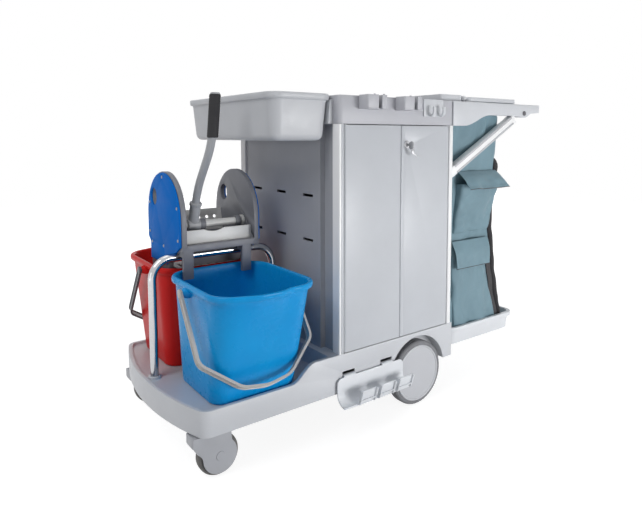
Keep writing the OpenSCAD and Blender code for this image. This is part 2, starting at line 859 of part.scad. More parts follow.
module far_side_panel() placed() color(body_grey) {
  box([post_l, far_panel_y, base_top], [cab_len - post_l, far_panel_y + panel_t, header_z]);
}

module cabinet_shelf() placed() color(body_grey) {
  z = base_top + shelf_h;
  box([panel_set + panel_t, -post_in, z], [rear_panel_x, post_in, z + shelf_t]);
  box([post_l + loose, -shelf_front_y, z], [cab_len - post_l - loose, far_panel_y, z + shelf_t]);
}

module header_block(h) {
  translate([cab_len / 2, 0, header_z]) round_slab(cab_len, body_w, h, header_corner_r);
}

module header_frame() placed() color(body_grey) difference() {
  hollow_h = header_h - tray_depth - tray_floor_t;
  union() {
    difference() {
      header_block(header_h);
      translate([cab_len / 2, 0, header_top - tray_depth])
        round_slab(cab_len - 2 * header_wall, body_w - 2 * header_wall, tray_depth + past,
          header_corner_r - header_wall);
      box([header_wall, head_rail_w - half_w, header_z - past],
        [cab_len - header_wall, half_w - header_wall, header_z + hollow_h]);
    }
    intersection() {
      header_block(hollow_h);
      for (x = [0, cab_len - 2 * post_l], y = [-half_w, post_in]) {
        translate([x, y, header_z]) cube([2 * post_l, post_w, hollow_h]);
      }
    }
  }
  for (x = [hinge_front_x, hinge_rear_x]) {
    translate([x, hinge_y, header_z - past]) cylinder(h = hinge_pin_depth + past, r = hinge_r + fit);
  }
}

// Doors

// One door leaf: s is -1 for the door hinged in front, 1 for the one hinged behind
module door_leaf(s) {
  hx = s < 0 ? hinge_front_x : hinge_rear_x;
  free = seam_x + s * door_play / 2;
  x0 = min(hx, free);
  x1 = max(hx, free);
  difference() {
    union() {
      translate([hx, hinge_y, door_z]) cylinder(h = door_h, r = door_t / 2);
      box([x0, -half_w, door_z], [x1, door_t - half_w, door_z + door_h]);
    }
    for (z = [door_z - past, door_z + door_h - hinge_pin_depth]) {
      translate([hx, hinge_y, z]) cylinder(h = hinge_pin_depth + past, r = hinge_r + fit);
    }
  }
}

module door_left() placed() color(body_grey) door_leaf(-1);

module door_right() placed() color(body_grey) difference() {
  door_leaf(1);
  y_rod(lock_x, -half_w - past, door_t - half_w + past, lock_z, lock_r + fit);
}

module door_hinge_pins() placed() color(steel_grey) {
  reach = hinge_pin_depth - loose;
  for (x = [hinge_front_x, hinge_rear_x]) {
    translate([x, hinge_y, base_top - reach]) cylinder(h = 2 * reach + door_gap, r = hinge_r);
    translate([x, hinge_y, header_z - door_gap - reach]) cylinder(h = 2 * reach + door_gap, r = hinge_r);
  }
}

// Lock barrel with its cap outside, a key in it, and the cam behind the door
module door_lock() placed() color(chrome_grey) {
  cap_y = -half_w - lock_cap_t - loose;
  cam_y = door_t - half_w + loose;
  key_t = 2.4;
  y_rod(lock_x, cap_y, cap_y + lock_cap_t, lock_z, lock_r + 3);
  y_rod(lock_x, cap_y, cam_y + cam_t, lock_z, lock_r);
  box([lock_x - 7, cam_y, lock_z - cam_len], [lock_x + 7, cam_y + cam_t, lock_z]);
  box([lock_x - key_t / 2, cap_y - 14, lock_z - 4], [lock_x + key_t / 2, cap_y, lock_z + 4]);
  x_rod(lock_x - key_t / 2, lock_x + key_t / 2, cap_y - 20, lock_z - 3, 11);
}

// Front bin, hung on the header

module front_bin() placed() color(body_grey) {
  top = header_top + bin_rise;
  z = top - bin_h;
  out_l = bin_l - 2 * bin_lip;
  out_w = bin_w - 2 * bin_lip;
  corner = 32;
  hang_l = 12;
  hang_w = 36;
  middle = -2 - bin_l / 2;
  foot = [out_l - 2 * bin_taper, out_w - 2 * bin_taper, corner - 6, middle, 0];
  mouth = [out_l, out_w, corner, middle, 0];
  inset = [2 * bin_wall, 2 * bin_wall, bin_wall, 0, 0];
  difference() {
    union() {
      translate([0, 0, z]) tapered(foot, mouth, bin_h);
      translate([middle, 0, top - bin_lip_h]) round_slab(bin_l, bin_w, bin_lip_h, corner + bin_lip);
      for (s = [-1, 1]) {
        y = s * (out_w / 2 - hang_w / 2 - 4);
        box([-hang_l - bin_lip, y - hang_w / 2, header_z], [0, y + hang_w / 2, top - bin_lip_h + past]);
      }
    }
    translate([0, 0, z + bin_wall]) tapered(foot - inset, mouth - inset, bin_h - bin_wall + past);
  }
}

// Accessories on the header's door side

// Clip with a wide and a narrow jaw around an upright handle, x at the middle of its mouth
module tool_clip(x) placed() color(body_grey) {
  bore_y = -half_w - clip_d / 2 - 1;
  z = header_top - clip_h + 2;
  low = -clip_mouth / 2 - clip_jaw;
  high = clip_mouth / 2 + clip_small_jaw;
  back_t = 6;
  corner = 5;
  translate([x, 0, z]) difference() {
    union() {
      translate([(low + high) / 2, -half_w - clip_d / 2, 0]) round_slab(high - low, clip_d, clip_h, corner);
      box([low, -half_w - back_t, 0], [high, -half_w, clip_h]);
    }
    translate([0, bore_y, -past]) cylinder(h = clip_h + 2 * past, r = clip_bore_d / 2);
    box([-clip_mouth / 2, -half_w - clip_d - past, -past], [clip_mouth / 2, bore_y, clip_h + past]);
  }
}

// Plate with two upturned hooks
module hook_bracket() placed() color(body_grey) {
  middle = cab_len - hook_set_in;
  z = header_top - hook_h;
  plate = 5;
  width = 10;
  box([middle - hook_w / 2, -half_w - plate, z], [middle + hook_w / 2, -half_w, header_top]);
  for (s = [-1, 1]) {
    translate([middle + s * hook_w / 4 - width / 2, -half_w - hook_t - hook_r, z + hook_r + hook_t]) {
      rotate([90, 0, 90]) linear_extrude(width) difference() {
        circle(hook_r + hook_t);
        circle(hook_r);
        translate([-hook_r - 2 * hook_t, 0]) square(2 * (hook_r + 2 * hook_t));
      }
      translate([0, -hook_r - hook_t, 0]) cube([width, hook_t, 14]);
      translate([0, hook_r, -past]) cube([width, hook_t, 20]);
    }
  }
}

// Tool rest, hooked into two slots of the base's side

tab_t = 5;
rest_off = wheel_proud + 1.5;
hook_y = base_wall - half_w;
hook_lip = 4;
hook_deep = 14;
tab_z = rest_z + rest_h + tab_t;
function tab_x(s) = rest_l / 2 - rest_start + s * tab_pitch / 2 - 8;

module tool_rest() placed() color(mid_grey) {
  x0 = -rest_start;
  x1 = rest_l - rest_start;
  back = -half_w - rest_off;
  front = -half_w - rest_reach;
  bend = 34;
  arc = [for (i = [0:8]) 90 * i / 8];
  scoop = concat(
    [[back, rest_z + rest_h]],
    [[back - rest_wall, rest_z + rest_h]],
    [for (a = arc) [back - bend + (bend - rest_wall) * cos(a), rest_z + bend - (bend - rest_wall) * sin(a)]],
    [[front, rest_z + rest_wall]],
    [[front, rest_z]],
    [for (i = [8:-1:0]) [back - bend + bend * cos(arc[i]), rest_z + bend - bend * sin(arc[i])]]
  );
  cross_plate(scoop, x0, x1);
  for (i = [0:2]) {
    fx = x1 - finger_w / 2 - 4 - i * (finger_w + 14);
    box([fx - finger_w / 2, front, rest_z], [fx + finger_w / 2, front + rest_wall, rest_z + finger_h]);
    for (s = [-1, 1]) {
      rib_x = fx + s * (finger_w / 2 - 2);
      box([rib_x - 2, front, rest_z], [rib_x + 2, front + 10, rest_z + finger_h]);
    }
  }
  for (s = [-1, 1]) {
    tx = tab_x(s);
    box([tx - tab_w / 2, back - rest_wall, rest_z + rest_h - past], [tx + tab_w / 2, back, tab_z]);
    box([tx - tab_w / 2, back - rest_wall, tab_z - tab_t], [tx + tab_w / 2, hook_y + hook_lip, tab_z]);
    box([tx - tab_w / 2, hook_y + loose, tab_z - hook_deep], [tx + tab_w / 2, hook_y + hook_lip, tab_z]);
  }
}

// Bucket deck

// Bent tube standing in two collars on the deck
module divider_rail() placed() color(chrome_grey) {
  low = deck_z;
  high = rail_z - rail_bend;
  for (x = [rail_front_x, rail_rear_x]) {
    translate([x, 0, low]) cylinder(h = high - low, r = rail_r);
  }
  x_rod(rail_front_x + rail_bend, rail_rear_x - rail_bend, 0, rail_z, rail_r);
  translate([rail_rear_x - rail_bend, 0, high]) rotate([90, 0, 0])
    rotate_extrude(angle = 90) translate([rail_bend, 0]) circle(rail_r);
  translate([rail_front_x + rail_bend, 0, high]) rotate([90, -90, 0])
    rotate_extrude(angle = 90) translate([rail_bend, 0]) circle(rail_r);
}

// Bucket: s is -1 on the door side, 1 on the far side
module bucket(s) {
  foot = [bucket_foot_l, bucket_foot_w, bucket_r - lip_w - 12, 0, -s * bucket_lean];
  mouth = [body_l, body_y, bucket_r - lip_w, 0, 0];
  inset = [2 * bucket_wall, 2 * bucket_wall, bucket_wall, 0, 0];
  translate([bucket_x, s * bucket_y, 0]) difference() {
    union() {
      translate([0, 0, deck_z]) tapered(foot, mouth, bucket_h);
      translate([0, 0, bucket_top - lip_h]) round_slab(bucket_len, bucket_w, lip_h, bucket_r);
      x_rod(-ear_out, ear_out, -s * bail_in, bail_z, ear_r);
    }
    translate([0, 0, deck_z + bucket_wall])
      tapered(foot - inset, mouth - inset, bucket_h - bucket_wall + past / 10);
    for (t = [-1, 1]) {
      x_rod(t > 0 ? ear_out - 11 : -ear_out - past, t > 0 ? ear_out + past : 11 - ear_out,
        -s * bail_in, bail_z, bail_pin_r + fit);
    }
  }
}

module bucket_blue() color(bucket_blue_colour) placed() bucket(-1);
module bucket_red() color(bucket_red_colour) placed() bucket(1);

// Bail of flat strap with bent knees, hanging at its angle on side s
module bail(s) {
  crown = 11;
  h = bail_t / 2;
  knee = bail_knee - bail_l;
  grip_z = crown - bail_l;
  outer = [[-bail_half - h, 0], [-bail_half - h, knee - h], [-bail_grip - h, grip_z - 1.5 * h],
    [0, -bail_l - h], [bail_grip + h, grip_z - 1.5 * h], [bail_half + h, knee - h], [bail_half + h, 0]];
  inner = [[bail_half - h, 0], [bail_half - h, knee + h], [bail_grip - h, grip_z + h / 2],
    [0, h - bail_l], [h - bail_grip, grip_z + h / 2], [h - bail_half, knee + h], [h - bail_half, 0]];
  translate([bucket_x, s * bail_y, bail_z]) rotate([s * bail_angle, 0, 0]) {
    side_plate(concat(outer, inner), -bail_w / 2, bail_w / 2);
    for (t = [-1, 1]) {
      x_rod(t * bail_half - h, t * bail_half + h, 0, 0, bail_w / 2 + 3);
      x_rod(t > 0 ? ear_out - 10 : -bail_half, t > 0 ? bail_half : 10 - ear_out, 0, 0, bail_pin_r);
    }
  }
}

module bail_blue() color(bail_grey) placed() bail(-1);
module bail_red() color(dark_grey) placed() bail(1);

// Wringer

// Outline of a cheek in the Y-Z plane, drawn in by the given amount, down to its foot
function cheek_outline(inset, foot) = let(half = cheek_w / 2 - inset) concat(
  [for (i = [0:24]) [cheek_y + half * cos(7.5 * i), cheek_mid + (cheek_crown - inset) * sin(7.5 * i)]],
  [[cheek_y - half, cheek_low + inset / 2]],
  [[cheek_near + inset, bucket_top + 6]],
  [[cheek_near + inset, foot]],
  [[cheek_far - inset, foot]],
  [[cheek_far - inset, cheek_low - 14]],
  [[cheek_y + half, cheek_low + inset / 2]]
);

// Stadium-shaped finger hole through a cheek and its cover
module finger_hole(x0, x1) {
  for (t = [-1, 1]) {
    x_rod(x0, x1, hole_y, hole_z + t * hole_h / 2, hole_r);
  }
  box([x0, hole_y - hole_r, hole_z - hole_h / 2], [x1, hole_y + hole_r, hole_z + hole_h / 2]);
}

module wringer_frame() placed() color(mid_grey) translate([wringer_x, 0, 0]) difference() {
  union() {
    for (s = [-1, 1]) {
      x0 = s > 0 ? cheek_in : -cheek_out;
      cross_plate(cheek_outline(0, cheek_foot), x0, x0 + cheek_t);
      leg_low = s * leg_x - wringer_shift - leg_w / 2;
      leg_high = leg_low + leg_w;
      box([leg_low, beam_y, rail_z - leg_drop], [leg_high, beam_y + leg_t, beam_z + 1]);
      box([leg_low, beam_y, rail_z + 2], [leg_high, rail_r + 5, beam_z + 1]);
    }
    box([-cheek_out, beam_y, beam_z], [cheek_out, beam_y + beam_w, beam_z + beam_h]);
    box([-cheek_out, cheek_far - 22, cheek_low], [cheek_out, cheek_far - 4, cheek_low + 26]);
    box([-cheek_out, cheek_near, cheek_foot], [cheek_out, cheek_far, cheek_foot + 6]);
  }
  x_rod(-wringer_l, wringer_l, 0, rail_z, rail_r + fit);
  x_rod(-cheek_out + 4, cheek_out - 4, shaft_y, shaft_z, shaft_r + fit);
  finger_hole(-wringer_l, wringer_l);
  for (i = [-3:3], k = [0:4]) {
    y = cheek_near + 40 + k * (cheek_far - cheek_near - 80) / 4;
    translate([i * drain_pitch, y, cheek_foot - past]) cylinder(h = 6 + 2 * past, r = 6);
  }
}

// Places of the screws in a cover, as [y, z]
screw_in = 16;
screw_spots = [
  for (a = [18, 90, 162])
    [cheek_y + (cheek_w / 2 - screw_in) * cos(a), cheek_mid + (cheek_crown - screw_in) * sin(a)],
  [cheek_y - cheek_w / 2 + 18, cheek_low + 18], [cheek_y + cheek_w / 2 - 18, cheek_low + 18],
  [cheek_near + 24, cheek_low - 12], [cheek_far - 18, cheek_low - 12]];

module wringer_cover(s) color(bucket_blue_colour) placed() translate([wringer_x, 0, 0]) {
  x0 = s > 0 ? cheek_out : -wringer_l / 2;
  difference() {
    cross_plate(cheek_outline(3, bucket_top + 3), x0, x0 + cover_t);
    x_rod(-wringer_l, wringer_l, 0, rail_z, rail_r + loose);
    finger_hole(-wringer_l, wringer_l);
    for (p = screw_spots) {
      x_rod(-wringer_l, wringer_l, p[0], p[1], screw_r + fit);
    }
  }
}

module wringer_screws() placed() color(steel_grey) translate([wringer_x, 0, 0]) {
  for (s = [-1, 1], p = screw_spots) {
    x0 = s > 0 ? cheek_out : -wringer_l / 2 - 1;
    x_rod(x0, x0 + cover_t + 1, p[0], p[1], screw_r);
  }
}

module wringer_shaft() placed() color(pale_grey) translate([wringer_x, 0, 0]) {
  x_rod(-cheek_out + 4 + loose, cheek_out - 4 - loose, shaft_y, shaft_z, shaft_r);
  for (s = [-1, 1]) {
    x_rod(s * (cheek_in - 5) - 4, s * (cheek_in - 5) + 4, shaft_y, shaft_z, shaft_r + 5);
  }
}

// Plate that the lever swings: two rings on the shaft and the plate below them
module press_plate() placed() color(pale_grey) translate([wringer_x, shaft_y, shaft_z]) difference() {
  half = cheek_in - 12;
  ring_w = 16;
  union() {
    for (x = [lever_x - wringer_x + socket_half + loose, half - ring_w]) {
      x_rod(x, x + ring_w, 0, 0, shaft_r + 5);
      box([x, -plate_t / 2 - 6, -press_l + 20], [x + ring_w, plate_t / 2, 0]);
    }
    box([-half, -plate_t / 2, -press_l], [half, plate_t / 2, -socket_hub_r - loose]);
  }
  x_rod(-wringer_l, wringer_l, 0, 0, shaft_r + fit);
}

// Perforated plate that the mop is pressed against
module back_plate() placed() color(pale_grey) translate([wringer_x, back_low_y, back_z])
  rotate([-back_tilt, 0, 0]) difference() {
    box([-cheek_in, 0, 0], [cheek_in, plate_t, back_h]);
    for (i = [-3:3], k = [0:4]) {
      translate([i * drain_pitch, -past, 20 + k * drain_pitch])
        rotate([-90, 0, 0]) cylinder(h = plate_t + 2 * past, r = 5);
    }
  }

// Upright plate on the beam, with a shallow notch in its top edge
module splash_guard() placed() color(pale_grey) translate([wringer_x, 0, 0]) difference() {
  z = beam_z + beam_h;
  notch_r = (notch_w * notch_w / 4 + notch_deep * notch_deep) / (2 * notch_deep);
  box([-cheek_in, beam_y + beam_w - plate_t, z], [cheek_in, beam_y + beam_w, z + guard_h]);
  y_rod(notch_x, beam_y, beam_y + beam_w + past, z + guard_h - notch_deep + notch_r, notch_r);
}

// Clamp hub on the shaft and the sleeve that takes the lever's tube
module lever_socket() placed() color(mid_grey) difference() {
  union() {
    x_rod(lever_x - socket_half, lever_x + socket_half, shaft_y, shaft_z, socket_hub_r);
    lever_rod([0, 0], socket_end, socket_r);
  }
  x_rod(lever_x - socket_half - past, lever_x + socket_half + past, shaft_y, shaft_z, shaft_r + fit);
  lever_rod([-8, 20], lever_path[1], lever_r + fit);
}

module lever_tube() placed() color(mid_grey) {
  lever_rod([-8, 20], lever_path[1], lever_r);
  lever_rod(lever_path[1], lever_path[2], lever_r);
  lever_rod(lever_path[2], lever_path[3], lever_r);
  for (p = [lever_path[1], lever_path[2]]) {
    translate([lever_x, shaft_y + p[0], shaft_z + p[1]]) sphere(lever_r + 0.2);
  }
}

module lever_grip() placed() color(grip_black) difference() {
  tip = lever_path[3] + 4 * (lever_path[3] - lever_path[2]) / norm(lever_path[3] - lever_path[2]);
  lever_rod(grip_start, tip, grip_r);
  lever_rod(lever_path[2], lever_path[3], lever_r + fit);
}

// Bag frame

// Side view of a bag arm, from its root at the header
arm_outline = concat(
  [[cab_len, header_top], [arm_end_x, header_top], [arm_end_x, header_top - arm_end_h]],
  [[arm_end_x - 50, header_top - arm_end_h - 4]],
  [[cab_len + arm_bolt_x + 14, header_top - arm_mid_h - 4]],
  [[cab_len + arm_bolt_x - 14, header_top - arm_mid_h - 4]],
  [[cab_len + arm_bolt_x - 30, header_top - arm_mid_h]],
  [for (i = [0:10]) [cab_len + arm_arch - (arm_arch - arm_root) * i / 10,
    header_top - arm_mid_h - (header_h - arm_mid_h) * (1 - cos(18 * i)) / 2]],
  [[cab_len, header_z]]
);

module bag_arm(s) placed() color(body_grey) {
  y = s > 0 ? arm_in : -half_w;
  difference() {
    side_plate(arm_outline, y, y + arm_w);
    y_rod(cab_len + arm_bolt_x, y - past, y + arm_w + past, header_top - arm_mid_h + 10, 5 + fit);
  }
}

module push_handle() placed() color(body_grey) {
  y_rod(arm_end_x - handle_set_in, -arm_in, arm_in, header_top - arm_end_h / 2, handle_d / 2);
}

// Slanted tube from the rear post to the arm: t is its depth and w its width
module stay_bar(s, t, w, extra) {
  up = t / 2 / cos(stay_angle);
  end = [cab_len + stay_reach, stay_top_z] + extra * [cos(stay_angle), sin(stay_angle)];
  side = t / 2 * [-sin(stay_angle), cos(stay_angle)];
  foot = [cab_len - extra * cos(stay_angle), stay_foot_z - extra * sin(stay_angle)];
  side_plate([foot - [0, up], end - side, end + side, foot + [0, up]], s * stay_y - w / 2, s * stay_y + w / 2);
}

module bag_stays() placed() color(post_white) difference() {
  for (s = [-1, 1]) {
    difference() {
      stay_bar(s, stay_h, stay_w, 0);
      stay_bar(s, stay_h - 2 * stay_wall, stay_w - 2 * stay_wall, past);
    }
  }
  side_plate(arm_outline, -half_w - past, half_w + past);
}

module frame_bolts() placed() color(steel_grey) {
  for (s = [-1, 1]) {
    y0 = s > 0 ? arm_in : -half_w - 3;
    head = s > 0 ? half_w : -half_w - 3;
    y_rod(cab_len + arm_bolt_x, y0, y0 + arm_w + 3, header_top - arm_mid_h + 10, 5);
    y_rod(cab_len + arm_bolt_x, head, head + 3, header_top - arm_mid_h + 10, 8);
  }
}

// Fixed cover between the header and the lid, with the ears of the lid's hinge
module cover_plate() placed() color(body_grey) difference() {
  x0 = bridge_end - bridge_l;
  wall = 5;
  union() {
    difference() {
      translate([bridge_end - bridge_l / 2, 0, header_top]) round_slab(bridge_l, 2 * arm_in, bridge_h, 9);
      box([x0 + wall, wall - arm_in, header_top - past],
        [bridge_end - wall, arm_in - wall, header_top + bridge_h - wall]);
    }
    for (s = [-1, 1]) {
      y0 = s > 0 ? lid_knuckle_y - 2 * knuckle_w - loose : loose + knuckle_w - lid_knuckle_y;
      y_rod(hinge_lid_x, y0, y0 + knuckle_w, hinge_lid_z, knuckle_r);
      box([bridge_end - wall, y0, hinge_lid_z - knuckle_r], [hinge_lid_x, y0 + knuckle_w, hinge_lid_z]);
    }
  }
  y_rod(hinge_lid_x, -half_w, half_w, hinge_lid_z, lid_pin_d / 2 + fit);
}

// Lid: a shallow shell with a round-cornered skirt and two knuckles
module bag_lid() placed() color(body_grey) difference() {
  low = hinge_lid_z - lid_h / 2 - 2;
  start = hinge_lid_x + knuckle_r + 2;
  length = hinge_lid_x + lid_l - start;
  union() {
    difference() {
      translate([start + length / 2, 0, low]) round_slab(length, lid_w, lid_h, 20);
      translate([start + length / 2, 0, low - past])
        round_slab(length - 2 * lid_wall, lid_w - 2 * lid_wall, lid_h - lid_wall + past, 17);
    }
    for (s = [-1, 1]) {
      y0 = s > 0 ? lid_knuckle_y - knuckle_w : -lid_knuckle_y;
      y_rod(hinge_lid_x, y0, y0 + knuckle_w, hinge_lid_z, knuckle_r);
      box([hinge_lid_x, y0, low + lid_h - 6], [start + lid_wall, y0 + knuckle_w, low + lid_h]);
    }
  }
  y_rod(hinge_lid_x, -half_w, half_w, hinge_lid_z, lid_pin_d / 2 + fit);
}

module lid_pin() placed() color(steel_grey) {
  y_rod(hinge_lid_x, -lid_knuckle_y - 3, lid_knuckle_y + 3, hinge_lid_z, lid_pin_d / 2);
}

// Bag and its tray

module bag_shelf() placed() color(body_grey) {
  out_l = tray_l - 2 * bag_tray_lip;
  out_w = tray_w - 2 * bag_tray_lip;
  middle = base_rear + tray_l / 2;
  foot = [out_l - 12, out_w - 12, 26, middle - 2, 0];
  mouth = [out_l, out_w, 32, middle, 0];
  inset = [2 * bag_tray_wall, 2 * bag_tray_wall, bag_tray_wall, 0, 0];
  lip_tall = 14;
  difference() {
    union() {
      translate([0, 0, tray_z]) tapered(foot, mouth, bag_tray_h);
      translate([middle, 0, tray_top - lip_tall]) round_slab(tray_l, tray_w, lip_tall, 38);
    }
    translate([0, 0, tray_z + bag_tray_wall]) tapered(foot - inset, mouth - inset, bag_tray_h);
  }
}

// One side of a bag outline: [length, width, corner radius, middle]
function bag_ring(l, half, inset) = [l - 2 * inset, 2 * (half - inset), 26 - inset, bag_x + l / 2, 0];

module bag_body(inset) {
  foot = bag_ring(bag_foot_l, bag_foot_half, inset);
  mouth = bag_ring(bag_top_l, bag_half, inset);
  low = bag_z + inset;
  translate([0, 0, low]) tapered(foot, mouth, bag_top - low + (inset > 0 ? past : 0));
}

// Pocket on the bag's door side, with its flap: z is the flap's top edge
module bag_pocket(z, h, flare) {
  x = bag_x + bag_top_l - pocket_w - 18;
  y = 4 - bag_half;
  box([x, y - pocket_t, z - h], [x + pocket_w, y + 6, z - 12]);
  translate([x - 3, y - pocket_t + 3, z]) rotate([-flare, 0, 0])
    translate([0, -4, -flap_h]) cube([pocket_w + 6, 4, flap_h]);
}

module bag() placed() color(bag_teal) {
  difference() {
    union() {
      bag_body(0);
      bag_pocket(bag_z + pocket_low + pocket_rise, pocket_h, 14);
      bag_pocket(bag_z + pocket_low, pocket_h, 4);
    }
    bag_body(bag_cloth);
  }
}

base_platform();
bag_shelf();
post(-1, -1);  // post_front_near
post(1, -1);  // post_rear_near
post(-1, 1);  // post_front_far
post(1, 1);  // post_rear_far
front_panel();
rear_panel();
far_side_panel();
cabinet_shelf();
header_frame();
front_bin();
tool_clip(clip_x);  // tool_clip_front
tool_clip(clip_x + clip_pitch);  // tool_clip_rear
hook_bracket();
tool_rest();
rear_axle();
rear_hub(-1);  // rear_hub_near
rear_tyre(-1);  // rear_tyre_near
rear_hub(1);  // rear_hub_far
rear_tyre(1);  // rear_tyre_far
caster_mount(-1);  // caster_mount_near
caster_hood(-1);  // caster_hood_near
caster_axle(-1);  // caster_axle_near
caster_hub(-1);  // caster_hub_near
caster_tyre(-1);  // caster_tyre_near
caster_mount(1);  // caster_mount_far
caster_hood(1);  // caster_hood_far
caster_axle(1);  // caster_axle_far
caster_hub(1);  // caster_hub_far
caster_tyre(1);  // caster_tyre_far
divider_rail();
bucket_blue();
bucket_red();
bail_blue();
bail_red();
wringer_frame();
wringer_cover(-1);  // wringer_cover_front
wringer_cover(1);  // wringer_cover_rear
wringer_screws();
wringer_shaft();
press_plate();
back_plate();
splash_guard();
lever_socket();
lever_tube();
lever_grip();
door_left();
door_right();
door_hinge_pins();
door_lock();
bag_arm(-1);  // bag_arm_near
bag_arm(1);  // bag_arm_far
push_handle();
cover_plate();
bag_lid();
lid_pin();
bag_stays();
frame_bolts();
bag();
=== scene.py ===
"""Janitor cart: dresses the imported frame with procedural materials, moulded pieces and the cloth bag."""
import json
import math

import bmesh
import bpy
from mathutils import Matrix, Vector, noise


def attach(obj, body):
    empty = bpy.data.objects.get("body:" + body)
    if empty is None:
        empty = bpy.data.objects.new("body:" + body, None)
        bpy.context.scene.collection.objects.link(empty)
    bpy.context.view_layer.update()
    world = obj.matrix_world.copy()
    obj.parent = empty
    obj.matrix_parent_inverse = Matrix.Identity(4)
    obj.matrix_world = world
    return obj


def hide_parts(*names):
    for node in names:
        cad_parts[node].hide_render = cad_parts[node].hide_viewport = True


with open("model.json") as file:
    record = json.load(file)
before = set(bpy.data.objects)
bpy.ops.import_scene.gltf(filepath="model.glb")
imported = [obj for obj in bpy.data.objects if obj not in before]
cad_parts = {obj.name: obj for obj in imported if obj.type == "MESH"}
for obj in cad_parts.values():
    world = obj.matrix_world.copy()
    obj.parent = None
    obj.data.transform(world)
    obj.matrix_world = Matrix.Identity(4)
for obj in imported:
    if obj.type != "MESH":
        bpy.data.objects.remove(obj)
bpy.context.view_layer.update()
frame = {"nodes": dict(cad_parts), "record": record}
scene = bpy.context.scene

# The cart's own measures start at the cabinet's front face; the frame starts under the cart's middle
MID_X = 0.2335
BODY_OF = {node: body for body, nodes in frame["record"]["behaviour"]["bodies"].items() for node in nodes}


def at(x, y, z):
    """A point of the cart, in millimetres from the cabinet's front, as a point of the frame."""
    return Vector((x / 1000 - MID_X, y / 1000, z / 1000))


# Camera, light and floor

def make_camera():
    """Camera at the photograph's viewpoint."""
    data = bpy.data.cameras.new("camera")
    data.sensor_width = 36
    data.lens = 31.46
    data.shift_x = -0.0291
    data.shift_y = -0.1139
    camera = bpy.data.objects.new("camera", data)
    camera.location = (-1.1469, -1.4859, 0.8355)
    camera.rotation_euler = (math.radians(85.22), 0, math.radians(-37.28))
    scene.collection.objects.link(camera)
    scene.camera = camera


def make_lamp(name, place, target, size, power):
    """Soft square lamp that looks at a point."""
    data = bpy.data.lights.new(name, "AREA")
    data.size = size
    data.energy = power
    lamp = bpy.data.objects.new(name, data)
    lamp.location = place
    lamp.rotation_euler = (Vector(target) - Vector(place)).to_track_quat("-Z", "Y").to_euler()
    scene.collection.objects.link(lamp)


def background_rays(nodes, links):
    """Socket that is 1 for the rays that should see the plain white background."""
    path = nodes.new("ShaderNodeLightPath")
    total = path.outputs["Is Camera Ray"]
    for ray in ("Is Glossy Ray", "Is Transmission Ray"):
        most = nodes.new("ShaderNodeMath")
        most.operation = "MAXIMUM"
        links.new(total, most.inputs[0])
        links.new(path.outputs[ray], most.inputs[1])
        total = most.outputs[0]
    return total


def make_world(ambient):
    """Soft light from all round, seen as plain white."""
    world = bpy.data.worlds.new("studio")
    scene.world = world
    world.use_nodes = True
    nodes, links = world.node_tree.nodes, world.node_tree.links
    light = nodes["Background"]
    light.inputs["Color"].default_value = (0.96, 0.98, 1, 1)
    light.inputs["Strength"].default_value = ambient
    seen = nodes.new("ShaderNodeBackground")
    seen.inputs["Color"].default_value = (1, 1, 1, 1)
    seen.inputs["Strength"].default_value = 1
    mix = nodes.new("ShaderNodeMixShader")
    links.new(background_rays(nodes, links), mix.inputs["Fac"])
    links.new(light.outputs[0], mix.inputs[1])
    links.new(seen.outputs[0], mix.inputs[2])
    links.new(mix.outputs[0], nodes["World Output"].inputs["Surface"])


def make_floor():
    """Pale floor that keeps the cart's shadow and runs into the white background."""
    fade_from, fade_to, glow_near = 0.8, 2.2, 0.66
    mat = bpy.data.materials.new("floor")
    mat.use_nodes = True
    nodes, links = mat.node_tree.nodes, mat.node_tree.links
    nodes.clear()
    matt = nodes.new("ShaderNodeBsdfDiffuse")
    matt.inputs["Color"].default_value = (0.82, 0.82, 0.83, 1)
    glow = nodes.new("ShaderNodeEmission")
    glow.inputs["Strength"].default_value = 1.35
    length = nodes.new("ShaderNodeVectorMath")
    length.operation = "LENGTH"
    links.new(nodes.new("ShaderNodeTexCoord").outputs["Object"], length.inputs[0])
    fade = nodes.new("ShaderNodeMapRange")
    fade.inputs["From Min"].default_value = fade_from
    fade.inputs["From Max"].default_value = fade_to
    fade.inputs["To Min"].default_value = glow_near
    links.new(length.outputs["Value"], fade.inputs["Value"])
    share = nodes.new("ShaderNodeMath")
    share.operation = "MULTIPLY"
    links.new(fade.outputs["Result"], share.inputs[1])
    mix = nodes.new("ShaderNodeMixShader")
    out = nodes.new("ShaderNodeOutputMaterial")
    links.new(background_rays(nodes, links), share.inputs[0])
    links.new(share.outputs[0], mix.inputs["Fac"])
    links.new(matt.outputs[0], mix.inputs[1])
    links.new(glow.outputs[0], mix.inputs[2])
    links.new(mix.outputs[0], out.inputs["Surface"])
    half = 6
    corners = [(-half, -half, 0), (half, -half, 0), (half, half, 0), (-half, half, 0)]
    mesh = bpy.data.meshes.new("floor")
    mesh.from_pydata(corners, [], [(0, 1, 2, 3)])
    mesh.materials.append(mat)
    floor = bpy.data.objects.new("floor", mesh)
    scene.collection.objects.link(floor)


scene.view_settings.view_transform = "Standard"
make_camera()
make_world(0.24)
make_lamp("key", (0.8, -2.6, 0.10), (0.05, 0, 0.28), 1.3, 66)
make_lamp("top", (-0.1, 0.3, 3.6), (0, 0, 0.4), 2.4, 16)
make_lamp("front_top", (-2.2, -0.5, 2.5), (-0.35, 0, 0.3), 1.3, 24)
make_lamp("front_fill", (-3.2, -0.5, 0.3), (0, 0, 0.32), 1.8, 8.5)
make_lamp("back_fill", (2.4, 2.6, 1.5), (0.2, 0, 0.5), 2.0, 26)
make_floor()


# Materials

